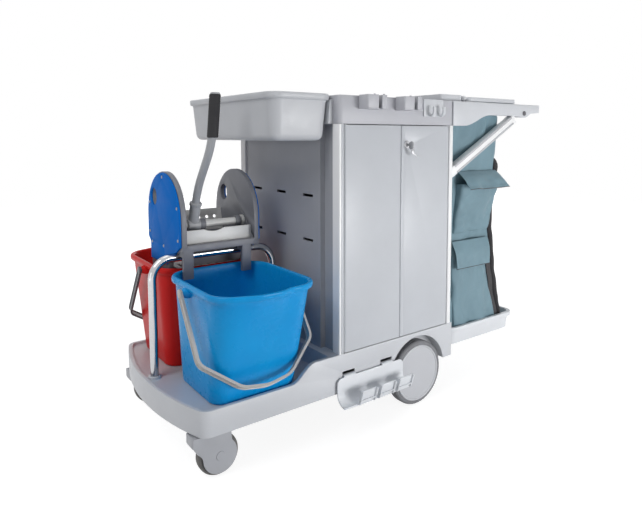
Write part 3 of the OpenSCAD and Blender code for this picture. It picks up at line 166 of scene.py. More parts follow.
class Maker:
    """Builds one node material step by step."""

    def __init__(self, name):
        self.material = bpy.data.materials.new(name)
        self.material.use_nodes = True
        self.nodes = self.material.node_tree.nodes
        self.links = self.material.node_tree.links
        self.shader = self.nodes["Principled BSDF"]
        self.coords = self.nodes.new("ShaderNodeTexCoord").outputs["Object"]

    def stretched(self, scale):
        """Object coordinates, scaled differently along each axis."""
        mapping = self.nodes.new("ShaderNodeMapping")
        mapping.inputs["Scale"].default_value = scale
        self.links.new(self.coords, mapping.inputs["Vector"])
        return mapping.outputs[0]

    def noise(self, scale, detail=3.0, rough=0.55, coords=None):
        """Cloudy noise from 0 to 1."""
        node = self.nodes.new("ShaderNodeTexNoise")
        node.inputs["Scale"].default_value = scale
        node.inputs["Detail"].default_value = detail
        node.inputs["Roughness"].default_value = rough
        self.links.new(coords or self.coords, node.inputs["Vector"])
        return node.outputs["Fac"]

    def ramp(self, value, low, high, out_low=0.0, out_high=1.0):
        """Maps low to high onto out_low to out_high, held at the ends."""
        node = self.nodes.new("ShaderNodeMapRange")
        node.inputs["From Min"].default_value = low
        node.inputs["From Max"].default_value = high
        node.inputs["To Min"].default_value = out_low
        node.inputs["To Max"].default_value = out_high
        self.links.new(value, node.inputs["Value"])
        return node.outputs["Result"]

    def math(self, operation, first, second):
        """One arithmetic step between sockets or numbers."""
        node = self.nodes.new("ShaderNodeMath")
        node.operation = operation
        for socket, value in zip(node.inputs, (first, second)):
            if isinstance(value, (int, float)):
                socket.default_value = value
            else:
                self.links.new(value, socket)
        return node.outputs[0]

    def mix(self, fac, first, second):
        """Mixes two colours, each a socket or three numbers."""
        node = self.nodes.new("ShaderNodeMix")
        node.data_type = "RGBA"
        self.links.new(fac, node.inputs["Factor"])
        for socket, value in ((node.inputs[6], first), (node.inputs[7], second)):
            if isinstance(value, tuple):
                socket.default_value = (*value, 1)
            else:
                self.links.new(value, socket)
        return node.outputs[2]

    def bump(self, height, strength, distance, after=None):
        """Bump from a height socket, on top of an earlier bump."""
        node = self.nodes.new("ShaderNodeBump")
        node.inputs["Strength"].default_value = strength
        node.inputs["Distance"].default_value = distance
        self.links.new(height, node.inputs["Height"])
        if after:
            self.links.new(after, node.inputs["Normal"])
        return node.outputs[0]

    def set(self, **sockets):
        """Sets or links the shader's own sockets; underscores stand for spaces."""
        for key, value in sockets.items():
            socket = self.shader.inputs[key.replace("_", " ")]
            if isinstance(value, (int, float)):
                socket.default_value = value
            elif isinstance(value, tuple):
                socket.default_value = (*value, 1)
            else:
                self.links.new(value, socket)
        return self.material


def shade(colour, factor):
    """A colour made lighter or darker."""
    return tuple(min(1.0, c * factor) for c in colour)


def edge_mask(maker, radius):
    """Socket that is 1 along sharp edges and 0 on the faces."""
    bevel = maker.nodes.new("ShaderNodeBevel")
    bevel.samples = 3
    bevel.inputs["Radius"].default_value = radius
    geometry = maker.nodes.new("ShaderNodeNewGeometry")
    dot = maker.nodes.new("ShaderNodeVectorMath")
    dot.operation = "DOT_PRODUCT"
    maker.links.new(bevel.outputs[0], dot.inputs[0])
    maker.links.new(geometry.outputs["Normal"], dot.inputs[1])
    return maker.ramp(dot.outputs["Value"], 0.97, 0.75)


def plastic(name, colour, rough, grain=900.0, depth=0.06, edge_wear_and_highlight=0.0):
    """Moulded plastic: faint clouds of tone, fine grain, handling scuffs, and lighter edges that are
    partly rubbed wear and partly a painted highlight.
    """
    spread = 0.035
    m = Maker(name)
    clouds = m.noise(5.5, 4)
    fine = m.noise(260, 2)
    tone = m.mix(m.ramp(clouds, 0.3, 0.7), shade(colour, 1 - spread), shade(colour, 1 + spread))
    tone = m.mix(m.ramp(fine, 0.35, 0.75, 0, 0.12), tone, shade(colour, 0.86))
    scuff = m.ramp(m.noise(9, 6, 0.7, m.stretched((14, 14, 2.4))), 0.62, 0.72)
    tone = m.mix(m.math("MULTIPLY", scuff, 0.10), tone, shade(colour, 0.78))
    # Edges lightened in patches: partly rubbed wear, partly a painted highlight along the edges.
    if edge_wear_and_highlight:
        patches = m.ramp(m.noise(60, 4), 0.35, 0.65, 0.25, 1)
        rubbed_and_highlit = m.math("MULTIPLY", edge_mask(m, 0.0022), patches)
        tone = m.mix(m.math("MULTIPLY", rubbed_and_highlit, edge_wear_and_highlight), tone, shade(colour, 1.22))
    roughness = m.ramp(m.noise(34, 3), 0.3, 0.7, rough - 0.05, rough + 0.07)
    roughness = m.math("ADD", roughness, m.math("MULTIPLY", scuff, 0.12))
    normal = m.bump(m.noise(grain, 2, 0.5), depth, 0.0006)
    normal = m.bump(m.noise(11, 2, 0.4), 0.05, 0.004, normal)
    return m.set(Base_Color=tone, Roughness=roughness, Normal=normal, IOR=1.5)


def glossy_plastic(name, colour, deep, rough=0.24, shine=0.18):
    """Shiny bucket plastic with flow marks, fine scratches and a paler bloom."""
    m = Maker(name)
    clouds = m.noise(3.5, 3)
    tone = m.mix(m.ramp(clouds, 0.28, 0.72), deep, colour)
    flow = m.noise(1.6, 4, 0.5, m.stretched((8, 8, 1.2)))
    tone = m.mix(m.ramp(flow, 0.5, 0.8, 0, 0.12), tone, shade(colour, 1.2))
    scratch = m.ramp(m.noise(5, 5, 0.7, m.stretched((22, 22, 2.0))), 0.66, 0.72)
    gloss = m.ramp(m.noise(28, 3), 0.3, 0.7, rough, rough + 0.1)
    roughness = m.math("ADD", gloss, m.math("MULTIPLY", scratch, 0.12))
    normal = m.bump(m.noise(700, 2), 0.03, 0.0005)
    normal = m.bump(flow, 0.03, 0.004, normal)
    return m.set(Base_Color=tone, Roughness=roughness, Normal=normal, Specular_IOR_Level=shine)


def metal(name, colour, rough, brush=(1.0, 1.0, 1.0), marks=0.08):
    """Bare or plated metal with brushing along one axis and faint finger marks."""
    m = Maker(name)
    lines = m.noise(120, 4, 0.6, m.stretched(brush))
    tone = m.mix(m.ramp(lines, 0.3, 0.7), shade(colour, 0.93), colour)
    smear = m.ramp(m.noise(26, 4), 0.5, 0.75, 0, marks)
    roughness = m.math("ADD", m.ramp(lines, 0.3, 0.7, rough, rough + 0.05), smear)
    normal = m.bump(lines, 0.03, 0.0004)
    return m.set(Base_Color=tone, Roughness=roughness, Metallic=1.0, Normal=normal)


def coated(name, colour, rough):
    """Powder-coated extrusion with orange peel and a little dust."""
    m = Maker(name)
    dust = m.noise(14, 5, 0.6, m.stretched((1, 1, 0.4)))
    tone = m.mix(m.ramp(dust, 0.4, 0.75), colour, shade(colour, 0.93))
    roughness = m.ramp(m.noise(40, 3), 0.3, 0.7, rough - 0.04, rough + 0.08)
    normal = m.bump(m.noise(420, 2, 0.4), 0.08, 0.0006)
    return m.set(Base_Color=tone, Roughness=roughness, Normal=normal, IOR=1.5)


def rubber(name, colour, rough=0.75):
    """Matt rubber with a dusty bloom and fine pores."""
    m = Maker(name)
    bloom = m.noise(22, 5, 0.65)
    tone = m.mix(m.ramp(bloom, 0.42, 0.75), colour, shade(colour, 1.45))
    roughness = m.ramp(bloom, 0.3, 0.7, rough - 0.06, rough + 0.1)
    normal = m.bump(m.noise(520, 3), 0.16, 0.0008)
    return m.set(Base_Color=tone, Roughness=roughness, Normal=normal)


def cloth(name, colour, pitch=0.0011):
    """Coated woven cloth: crossing threads, slubs, and a soft sheen."""
    m = Maker(name)
    split = m.nodes.new("ShaderNodeSeparateXYZ")
    m.links.new(m.coords, split.inputs[0])
    wave = math.tau / pitch
    along = m.math("ADD", split.outputs["X"], split.outputs["Y"])
    warp = m.math("SINE", m.math("MULTIPLY", along, wave), 0)
    weft = m.math("SINE", m.math("MULTIPLY", split.outputs["Z"], wave), 0)
    weave = m.math("MULTIPLY", warp, weft)
    thread = m.ramp(weave, -1, 1)
    slub = m.noise(90, 3, 0.6, m.stretched((1, 1, 9)))
    clouds = m.noise(7, 5, 0.6)
    tone = m.mix(m.ramp(clouds, 0.3, 0.7), shade(colour, 0.88), shade(colour, 1.08))
    tone = m.mix(m.math("MULTIPLY", thread, 0.30), tone, shade(colour, 0.72))
    tone = m.mix(m.ramp(slub, 0.55, 0.75, 0, 0.25), tone, shade(colour, 1.25))
    normal = m.bump(thread, 0.22, 0.0005)
    normal = m.bump(m.noise(46, 4, 0.6), 0.22, 0.003, normal)
    normal = m.bump(m.noise(13, 3, 0.5), 0.35, 0.010, normal)
    roughness = m.ramp(slub, 0.3, 0.7, 0.56, 0.7)
    m.set(Sheen_Weight=0.25, Sheen_Roughness=0.4)
    return m.set(Base_Color=tone, Roughness=roughness, Normal=normal)


MATERIALS = {
    "body": plastic("body_plastic", (0.60, 0.615, 0.645), 0.40, edge_wear_and_highlight=0.35),
    "door": plastic("door_plastic", (0.545, 0.565, 0.60), 0.36, 600, 0.04, edge_wear_and_highlight=0.25),
    "panel": plastic("panel_plastic", (0.385, 0.395, 0.425), 0.44, 700, 0.05),
    "header": plastic("header_plastic", (0.46, 0.465, 0.50), 0.40, edge_wear_and_highlight=0.35),
    "post": coated("post_paint", (0.92, 0.925, 0.93), 0.36),
    # Darker copy of the post paint for the stays' raised edges: painted shade.
    "stay": coated("stay_shaded_paint", (0.50, 0.505, 0.53), 0.34),
    # Darker copy of the body plastic for the bin: painted shade.
    "bin": plastic("bin_shaded_plastic", (0.52, 0.533, 0.56), 0.40, edge_wear_and_highlight=0.35),
    "wringer": plastic("wringer_plastic", (0.185, 0.19, 0.213), 0.48, edge_wear_and_highlight=0.3),
    "clip": plastic("clip_plastic", (0.50, 0.505, 0.54), 0.42, edge_wear_and_highlight=0.3),
    "rest": plastic("rest_plastic", (0.73, 0.75, 0.78), 0.42, edge_wear_and_highlight=0.3),
    "hood": plastic("hood_plastic", (0.42, 0.43, 0.46), 0.44, edge_wear_and_highlight=0.3),
    "dark": plastic("dark_plastic", (0.10, 0.10, 0.11), 0.42, edge_wear_and_highlight=0.3),
    "pale": plastic("pale_plastic", (0.70, 0.70, 0.69), 0.38),
    "bail": plastic("bail_plastic", (0.48, 0.46, 0.44), 0.36, edge_wear_and_highlight=0.3),
    "wheel": plastic("wheel_plastic", (0.53, 0.54, 0.57), 0.40, 700, 0.05),
    "blue": glossy_plastic("blue_plastic", (0.004, 0.335, 0.74), (0.003, 0.285, 0.69)),
    "cover": glossy_plastic("cover_plastic", (0.002, 0.155, 0.58), (0.002, 0.135, 0.52), 0.5, 0.06),
    "red": glossy_plastic("red_plastic", (0.66, 0.018, 0.016), (0.57, 0.014, 0.013), 0.28, 0.09),
    "steel": metal("steel", (0.62, 0.63, 0.64), 0.28, (1, 18, 1)),
    "key": metal("key_metal", (0.40, 0.405, 0.42), 0.48),
    "chrome": metal("chrome", (0.52, 0.525, 0.54), 0.09, (1, 1, 1), 0.06),
    "lever": coated("lever_paint", (0.37, 0.38, 0.40), 0.38),
    "grip": rubber("grip_rubber", (0.014, 0.014, 0.016)),
    "tyre": rubber("wheel_rubber", (0.17, 0.173, 0.185), 0.66),
    "caster_tyre": rubber("caster_rubber", (0.12, 0.117, 0.112), 0.66),
    "cloth": cloth("bag_cloth", (0.176, 0.288, 0.343)),
    "binding": cloth("bag_binding", (0.022, 0.020, 0.023), 0.0014),
}


# Building pieces

def finish_piece(obj, body, stands_for=(), smooth=32):
    """Shades a new piece, fixes it to its body, and hides the nodes that it stands for."""
    mesh = obj.data
    mesh.polygons.foreach_set("use_smooth", [True] * len(mesh.polygons))
    mesh.set_sharp_from_angle(angle=math.radians(smooth))
    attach(obj, body)
    if stands_for:
        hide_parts(*stands_for)


def from_bmesh(name, bm, material):
    """Object from a bmesh, with its faces turned outwards."""
    bmesh.ops.recalc_face_normals(bm, faces=bm.faces)
    mesh = bpy.data.meshes.new(name)
    bm.to_mesh(mesh)
    bm.free()
    mesh.materials.append(MATERIALS[material])
    obj = bpy.data.objects.new(name, mesh)
    scene.collection.objects.link(obj)
    return obj


def stand_in(node, bm, material, ending="_moulded", smooth=40):
    """Piece from a bmesh that stands for a node, on that node's body and in the given material."""
    obj = from_bmesh(node + ending, bm, material)
    finish_piece(obj, BODY_OF[node], [node], smooth)


def add_loft(bm, rings, cap_last=True, closed=False):
    """Skins rings of equal length; closed joins the last ring to the first, and leaves out both caps."""
    rows = [[bm.verts.new(p) for p in ring] for ring in rings]
    count = len(rows[0])
    last = len(rows) if closed else len(rows) - 1
    for i in range(last):
        low, high = rows[i], rows[(i + 1) % len(rows)]
        for k in range(count):
            bm.faces.new((low[k], low[(k + 1) % count], high[(k + 1) % count], high[k]))
    if not closed:
        bm.faces.new(rows[0][::-1])
    if not closed and cap_last:
        bm.faces.new(rows[-1])


def round_edges(bm, width, angle=30):
    """Rounds a bmesh's sharp edges by some millimetres."""
    bmesh.ops.recalc_face_normals(bm, faces=bm.faces)
    limit = math.radians(angle)
    sharp = [e for e in bm.edges if len(e.link_faces) == 2 and e.calc_face_angle(0) > limit]
    bmesh.ops.bevel(bm, geom=sharp, offset=width / 1000, segments=2, profile=0.5, affect="EDGES",
                    clamp_overlap=False, miter_outer="ARC")
    bmesh.ops.triangulate(bm, faces=[f for f in bm.faces if len(f.verts) > 4])


def add_block(bm, outline, first, last, axis):
    """Solid between two copies of an outline along one axis, given as pairs of the other two measures."""
    add_loft(bm, [[at(*pair[:axis], end, *pair[axis:]) for pair in outline] for end in (first, last)])


def softened(node, material, width):
    """Copy of a node with its sharp edges rounded by the given width in millimetres."""
    bm = bmesh.new()
    bm.from_mesh(frame["nodes"][node].data)
    bmesh.ops.remove_doubles(bm, verts=bm.verts, dist=1e-5)
    bmesh.ops.dissolve_limit(bm, angle_limit=math.radians(0.6), verts=bm.verts, edges=bm.edges)
    round_edges(bm, width)
    stand_in(node, bm, material)


def smooth_path(points, radius, steps):
    """Points with each corner rounded by an arc-like curve of about the given radius."""
    points = [Vector(p) for p in points]
    path = [points[0]]
    for before, corner, after in zip(points, points[1:], points[2:]):
        back = before - corner
        ahead = after - corner
        cut = min(radius, 0.48 * back.length, 0.48 * ahead.length)
        start = corner + back.normalized() * cut
        end = corner + ahead.normalized() * cut
        for i in range(steps + 1):
            t = i / steps
            path.append(start * (1 - t) ** 2 + corner * 2 * t * (1 - t) + end * t ** 2)
    path.append(points[-1])
    return path


def swept_rings(path, profile, side):
    """Rings of a profile, given as [across, along side] pairs, carried along a path."""
    side = Vector(side).normalized()
    rings = []
    for i, p in enumerate(path):
        run = (path[min(i + 1, len(path) - 1)] - path[max(i - 1, 0)]).normalized()
        across = side.cross(run).normalized()
        rings.append([p + across * a + side * b for a, b in profile])
    return rings


def circle(radius, count):
    """Pairs of points round a circle."""
    turns = [math.tau * i / count for i in range(count)]
    return [(radius * math.cos(a), radius * math.sin(a)) for a in turns]


def rounded_ring(length, width, radius, centre, count=12):
    """Rounded rectangle in plan, as points around it, starting on the +X side."""
    points = []
    for sx, sy, start in ((1, 1, 0), (-1, 1, 90), (-1, -1, 180), (1, -1, 270)):
        cx = centre[0] + sx * (length / 2 - radius)
        cy = centre[1] + sy * (width / 2 - radius)
        for i in range(count + 1):
            a = math.radians(start + 90 * i / count)
            points.append((cx + radius * math.cos(a), cy + radius * math.sin(a)))
    return points


def spread_ring(points, count):
    """The same closed line with points at equal steps along it."""
    points = points + [points[0]]
    lengths = [0.0]
    for p, q in zip(points, points[1:]):
        lengths.append(lengths[-1] + math.dist(p, q))
    out = []
    k = 0
    for i in range(count):
        want = lengths[-1] * i / count
        while lengths[k + 1] < want:
            k += 1
        t = (want - lengths[k]) / max(1e-9, lengths[k + 1] - lengths[k])
        p, q = points[k], points[k + 1]
        out.append((p[0] + (q[0] - p[0]) * t, p[1] + (q[1] - p[1]) * t))
    return out


# Buckets

BUCKET_X = -241.5
BUCKET_Y = 175.5
BUCKET_H = 290
# Length, width and corner radius in plan
BUCKET_FOOT = (242, 231, 40)
BUCKET_RIM = (273, 328, 66)
BUCKET_POINTS = 144
DECK_Z = 177
EAR_X = 146.5
BAIL_Y = 155.5
BAIL_Z = DECK_Z + BUCKET_H - 23


def bucket_ring(height, grow, side):
    """Plan of a bucket at a height, grown outwards by some millimetres: side is -1 on the door side."""
    foot_shift, spout_from, spout_out, spout_x, spout_half, spout_blend = 28, 150, 17, -15, 48, 9
    t = max(0.0, min(1.0, height / BUCKET_H))
    length, width, radius = (low + (high - low) * t for low, high in zip(BUCKET_FOOT, BUCKET_RIM))
    middle = (0, -side * foot_shift * (1 - t))
    plan = rounded_ring(length + 2 * grow, width + 2 * grow, radius + grow, middle)
    spout = max(0.0, (height - spout_from) / (BUCKET_H - spout_from)) ** 2 * spout_out
    ring = []
    for x, y in spread_ring(plan, BUCKET_POINTS):
        if y * side > 0:
            share = 1 / (1 + math.exp((abs(x - spout_x) - spout_half) / spout_blend))
            y += side * spout * share * min(1, abs(y) / 120)
        ring.append(at(BUCKET_X + x, side * BUCKET_Y + y, DECK_Z + height))
    return ring


def make_bucket(node, material, side):
    """Bucket with a rolled lip, a pouring spout, a rounded foot and two ears for its bail."""
    wall = 3
    levels = (40, 80, 120, 150, 175, 200, 220, 240, 255)
    outside = [(0, -14), (0, -5), (2.5, -1.2), (7, 0)] + [(h, 0) for h in levels]
    outside += [(264, 0), (270, 1.5), (273.5, 3)]
    lip = [(274, 8.4), (276, 9.8), (281, 10), (286, 9.2), (288.6, 7)]
    lip += [(290, 3.5), (289.6, 0), (287.5, -2.4), (283, -wall), (270, -wall)]
    inside = [(h, -wall) for h in reversed(levels)] + [(14, -3.6), (7, -7), (4, -13), (3.4, -22)]
    bm = bmesh.new()
    add_loft(bm, [bucket_ring(h, g, side) for h, g in outside + lip + inside])
    stand_in(node, bm, material)
    for name, end in (("front", -1), ("rear", 1)):
        face = at(BUCKET_X + end * EAR_X, side * BAIL_Y, BAIL_Z)
        rings = []
        for out, r in ((-12, 15), (-3, 14.5), (6, 11), (8.6, 9.8), (9, 8.6), (9, 5.2)):
            middle = face + Vector((end * out / 1000, 0, 0))
            rings.append([middle + Vector((0, y, z)) for y, z in circle(r / 1000, 28)])
        bm = bmesh.new()
        add_loft(bm, rings, cap_last=False)
        finish_piece(from_bmesh(node + "_ear_" + name, bm, material), "chassis")


make_bucket("bucket_blue", "blue", -1)
make_bucket("bucket_red", "red", 1)


# Bails

def make_bail(node, material, side, angle):
    """Channel-shaped bail strap with rounded knees, turned by some degrees about its pins."""
    half, knee, grip, low, arch = 159, -184, 68, -272, 11
    flat = [(-half, 0), (-half, knee), (-grip, low + arch), (0, low)]
    flat += [(-x, z) for x, z in reversed(flat[:-1])]
    turn = math.radians(side * angle)

    def placed(x, y, z):
        return at(BUCKET_X + x, side * BAIL_Y + y * math.cos(turn) - z * math.sin(turn),
                  BAIL_Z + y * math.sin(turn) + z * math.cos(turn))

    path = smooth_path([(x, 0, z) for x, z in flat], 16, 6)
    wide, thick, rib, web = 10.0, 3.2, 2.0, 1.2
    inner = wide - rib
    slope = inner - 0.8
    profile = [(-thick, -wide), (thick, -wide), (thick, -inner)]
    profile += [(web, -slope), (web, slope), (thick, inner)]
    profile += [(-a, -b) for a, b in profile]
    bm = bmesh.new()
    add_loft(bm, [[placed(*p) for p in ring] for ring in swept_rings(path, profile, (0, 1, 0))])
    for end in (-1, 1):
        disc = ((-3.2, 9.5), (-2.8, 11), (3, 11), (3.8, 9.4))
        add_loft(bm, [[placed(end * (half + x), y, z) for y, z in circle(r, 28)] for x, r in disc])
        add_loft(bm, [[placed(end * x, y, z) for y, z in circle(4.9, 20)] for x in (EAR_X, half)])
    stand_in(node, bm, material, "_strap", 35)


make_bail("bail_blue", "bail", -1, 35)
make_bail("bail_red", "dark", 1, 35)


# Wringer lever

LEVER_X = -286
SHAFT_Y = 30
SHAFT_Z = 583
LEVER_PATH = [(-8, 20), (-38, 106), (-140, 234), (-162, 356)]


def lever_point(y, z, x=0):
    """A point in the lever's plane, from the shaft, or beside that plane by x."""
    return at(LEVER_X + x, SHAFT_Y + y, SHAFT_Z + z)


def make_lever_tube():
    """Bent tube of the lever."""
    path = smooth_path([lever_point(y, z) for y, z in LEVER_PATH], 0.055, 10)
    bm = bmesh.new()
    add_loft(bm, swept_rings(path, circle(0.011, 32), (1, 0, 0)))
    finish_piece(from_bmesh("lever_tube_bent", bm, "lever"), "lever", ["lever_tube"])


def make_lever_grip():
    """Ribbed grip with a plain collar at each end, and its metal cap."""
    low = Vector((0, -142.5, 248))
    high = Vector((0, -162.7, 360))
    run = high - low
    steps, waves, turns = 76, 18, 40
    radius, collar, rib_height, end_cut = 14.1, 14.6, 0.9, 2.2
    rings = []
    for i in range(steps + 1):
        t = i / steps
        middle = low + run * t
        ribbed = 0.03 < t < 0.97
        ring = []
        for k, (across, along) in enumerate(circle(1, turns)):
            r = radius if ribbed else collar
            if ribbed:
                r += rib_height * max(0.0, math.cos(math.pi * waves * t + math.pi * (k % 2)))
            if i in (0, steps):
                r -= end_cut
            ring.append(lever_point(middle.y + r * along, middle.z, r * across))
        rings.append(ring)
    bm = bmesh.new()
    add_loft(bm, rings)
    finish_piece(from_bmesh("lever_grip_ribbed", bm, "grip"), "lever", ["lever_grip"], 60)
    cap = []
    for out, r in ((0, 12.5), (2.5, 12.5), (4, 11), (4.6, 8)):
        middle = high + run.normalized() * out
        cap.append([lever_point(middle.y + y, middle.z, x) for x, y in circle(r, 28)])
    bm = bmesh.new()
    add_loft(bm, cap)
    finish_piece(from_bmesh("lever_grip_cap", bm, "lever"), "lever")


def make_lever_knurl():
    """Knurled ring round the mouth of the lever's socket."""
    top = Vector((0, -24, 66))
    run = Vector((0, *LEVER_PATH[1])).normalized()
    teeth, ridge, groove = 24, 0.7, -0.3
    rings = []
    for out, r, knurled in ((-9, 15.4, 0), (-8, 16.6, 1), (-1, 16.6, 1), (0.5, 15.2, 0), (1, 12, 0)):
        middle = top + run * out
        ring = []
        for k, (across, along) in enumerate(circle(1, 2 * teeth)):
            reach = r + (ridge if k % 2 else groove) * knurled
            ring.append(lever_point(middle.y + reach * along * run.z, middle.z - reach * along * run.y,
                                    reach * across))
        rings.append(ring)
    bm = bmesh.new()
    add_loft(bm, rings)
    finish_piece(from_bmesh("lever_socket_knurl", bm, "lever"), "lever", (), 20)


make_lever_tube()
make_lever_grip()
make_lever_knurl()


# Wheels

def turned(name, profile, centre, side, material, body, stands_for=(), steps=96, shape=None):
    """Ring or disc turned about the Y axis from [radius, depth] pairs, with depth from its outer face."""
    rings = []
    for k, (across, up) in enumerate(circle(1, steps)):
        ring = []
        for j, (radius, depth) in enumerate(profile):
            r = radius + shape(j, k) if shape else radius
            ring.append(at(centre[0] + r * across, centre[1] - side * depth, centre[2] + r * up))
        rings.append(ring)
    bm = bmesh.new()
    add_loft(bm, rings, closed=True)
    finish_piece(from_bmesh(name, bm, material), body, stands_for, 30)


def make_rear_wheel(end, side):
    """Tyre with shoulder lugs and the flat disc of the hub, on one side of the cart."""
    body = "wheel_" + end
    centre = (306, side * 288, 100)

    def lugs(row, turn):
        return -1.2 if row in (3, 14) and turn % 4 == 0 else 0

    tread = [(87.2, 2.6), (90, 1.6), (95, 2.4), (98.4, 5), (99.8, 8.4), (99.8, 11.4),
             (97.2, 12), (97.2, 14.6), (99.9, 15.2), (99.9, 22.8), (97.2, 23.4), (97.2, 26),
             (99.8, 26.6), (99.8, 30), (98.4, 33), (95, 35.6), (90, 36.4), (87.2, 36)]
    turned("rear_tyre_%s_tread" % end, tread, centre, side, "tyre", body,
           ["rear_tyre_" + end], 192, lugs)
    disc = [(0.01, 2.2), (40, 2.3), (70, 2.6), (80, 2.8), (81, 2.2), (82.2, 0.6), (84, 0), (86, 0.5),
            (87, 2.4), (87, 36), (79, 36), (79, 10), (24, 10), (24, 40), (8.2, 40), (8.2, 8), (0.01, 8)]
    turned("rear_hub_%s_disc" % end, disc, centre, side, "wheel", body,
           ["rear_hub_" + end])


make_rear_wheel("near", -1)
make_rear_wheel("far", 1)


SWIVEL_X = -366
CASTER_X = SWIVEL_X + 18
CASTER_Y = 240
CASTER_Z = 53


def make_caster(end, side):
    """Rounded tyre of one caster."""
    width = 30
    tread = [(41, 2), (45, 0.4), (48, 0.4), (50.6, 2.2), (52.4, 6), (53, 11)]
    tread += [(r, width - depth) for r, depth in reversed(tread)]
    turned("caster_tyre_%s_tread" % end, tread, (CASTER_X, side * (CASTER_Y + width / 2), CASTER_Z), side,
           "caster_tyre", "roller_" + end, ["caster_tyre_" + end], 72)


make_caster("near", -1)
make_caster("far", 1)


def make_hood(end, side):
    """Caster hood: two side covers, a bridge over the wheel, a brake tab and the swivel's collar."""
    node = "caster_hood_" + end
    body = "fork_" + end
    y = side * CASTER_Y
    front, rear, top = SWIVEL_X - 52, SWIVEL_X + 48, 116
    inner, outer = 17, 22.4

    def round_wheel(radius, start, stop, steps):
        angles = [math.radians(start + (stop - start) * i / steps) for i in range(steps + 1)]
        return [(CASTER_X + radius * math.cos(a), CASTER_Z + radius * math.sin(a)) for a in angles]

    cover = [(front, top), (front, 92), (front + 10, 76), (front + 19, 67), (front + 24, 59)]
    cover += round_wheel(44.5, 185, 405, 24) + [(rear, 98), (rear, top)]
    bridge = [(front, top), (front, 90), (front + 19, 79)] + round_wheel(55, 152, 58, 12)
    bridge += [(rear, 100), (rear, top)]
    tab = [(rear - 8, 100), (rear + 12, 100), (rear + 15, 104), (rear + 13, 110), (rear - 8, 113)]
    bm = bmesh.new()
    for face in (-1, 1):
        add_block(bm, cover, y + face * inner, y + face * outer, 1)
    add_block(bm, bridge, y - inner - 0.2, y + inner + 0.2, 1)
    add_block(bm, tab, y - 12, y + 12, 1)
    add_block(bm, [(SWIVEL_X + cx, y + cy) for cx, cy in circle(20, 36)], 112, 119.6, 2)
    round_edges(bm, 1.5)
    stand_in(node, bm, "hood")
    cap = [(0.01, 0), (10, 0.1), (11.6, 0.5), (12, 1.4), (12, 3), (0.01, 3)]
    for face in (-1, 1):
        name = "caster_cap_%s_%s" % (end, "outer" if face == side else "inner")
        centre = (CASTER_X, y + face * (outer + 2), CASTER_Z)
        turned(name, cap, centre, face, "hood", body, (), 40)


make_hood("near", -1)
make_hood("far", 1)


# Accessories on the door side

def make_clip(node, mouth):
    """Handle clip: a wide and a narrow jaw round its bore, a thin lower ledge and the jaws' pins."""
    low, high, front, back = mouth - 44.5, mouth + 25.5, -325, -285
    bottom, shelf, top = 909, 911.2, 948
    bore_y, bore_r, gap, steps = -306, 12.5, 6.5, 24
    outline = [(low, back), (low, front + 4), (low + 1.2, front + 1.2), (low + 4, front)]
    outline.append((mouth - gap, front))
    edge = 180 + math.degrees(math.acos(gap / bore_r))
    for i in range(steps + 1):
        a = math.radians(edge + (180 - 2 * edge) * i / steps)
        outline.append((mouth + bore_r * math.cos(a), bore_y + bore_r * math.sin(a)))
    outline.append((mouth + gap, front))
    outline += [(high - 4, front), (high - 1.2, front + 1.2), (high, front + 4), (high, back)]
    lip, notch = front - 2.5, front + 8
    ledge = [(low - 1.5, back), (low - 1.5, lip), (mouth - gap, lip), (mouth - gap, notch),
             (mouth + gap, notch), (mouth + gap, lip), (high + 1.5, lip), (high + 1.5, back)]
    bm = bmesh.new()
    add_block(bm, outline, shelf, top, 2)
    add_block(bm, ledge, bottom, shelf + 0.2, 2)
    for x in (low + 29, high - 7):
        add_block(bm, [(x + cx, notch + cy) for cx, cy in circle(3.2, 20)], top - 1, top + 3, 2)
    round_edges(bm, 0.8, 50)
    stand_in(node, bm, "clip")
    # Dark block at the back of the bore: painted shade inside the clip's mouth.
    shade_block = [(mouth - 10, back - 9), (mouth + 10, back - 9)]
    shade_block += [(mouth + 10, back - 14), (mouth - 10, back - 14)]
    bm = bmesh.new()
    add_block(bm, shade_block, 913, 946, 2)
    finish_piece(from_bmesh(node + "_painted_shade", bm, "dark"), "chassis")


make_clip("tool_clip_front", 111.5)
make_clip("tool_clip_rear", 247.5)

REST_BACK = -289.5
REST_Z = 92


def rest_point(x, out, up):
    """A point of the tool rest: along the cart, outwards from its back and above its underside."""
    return at(x, REST_BACK - out, REST_Z + up)


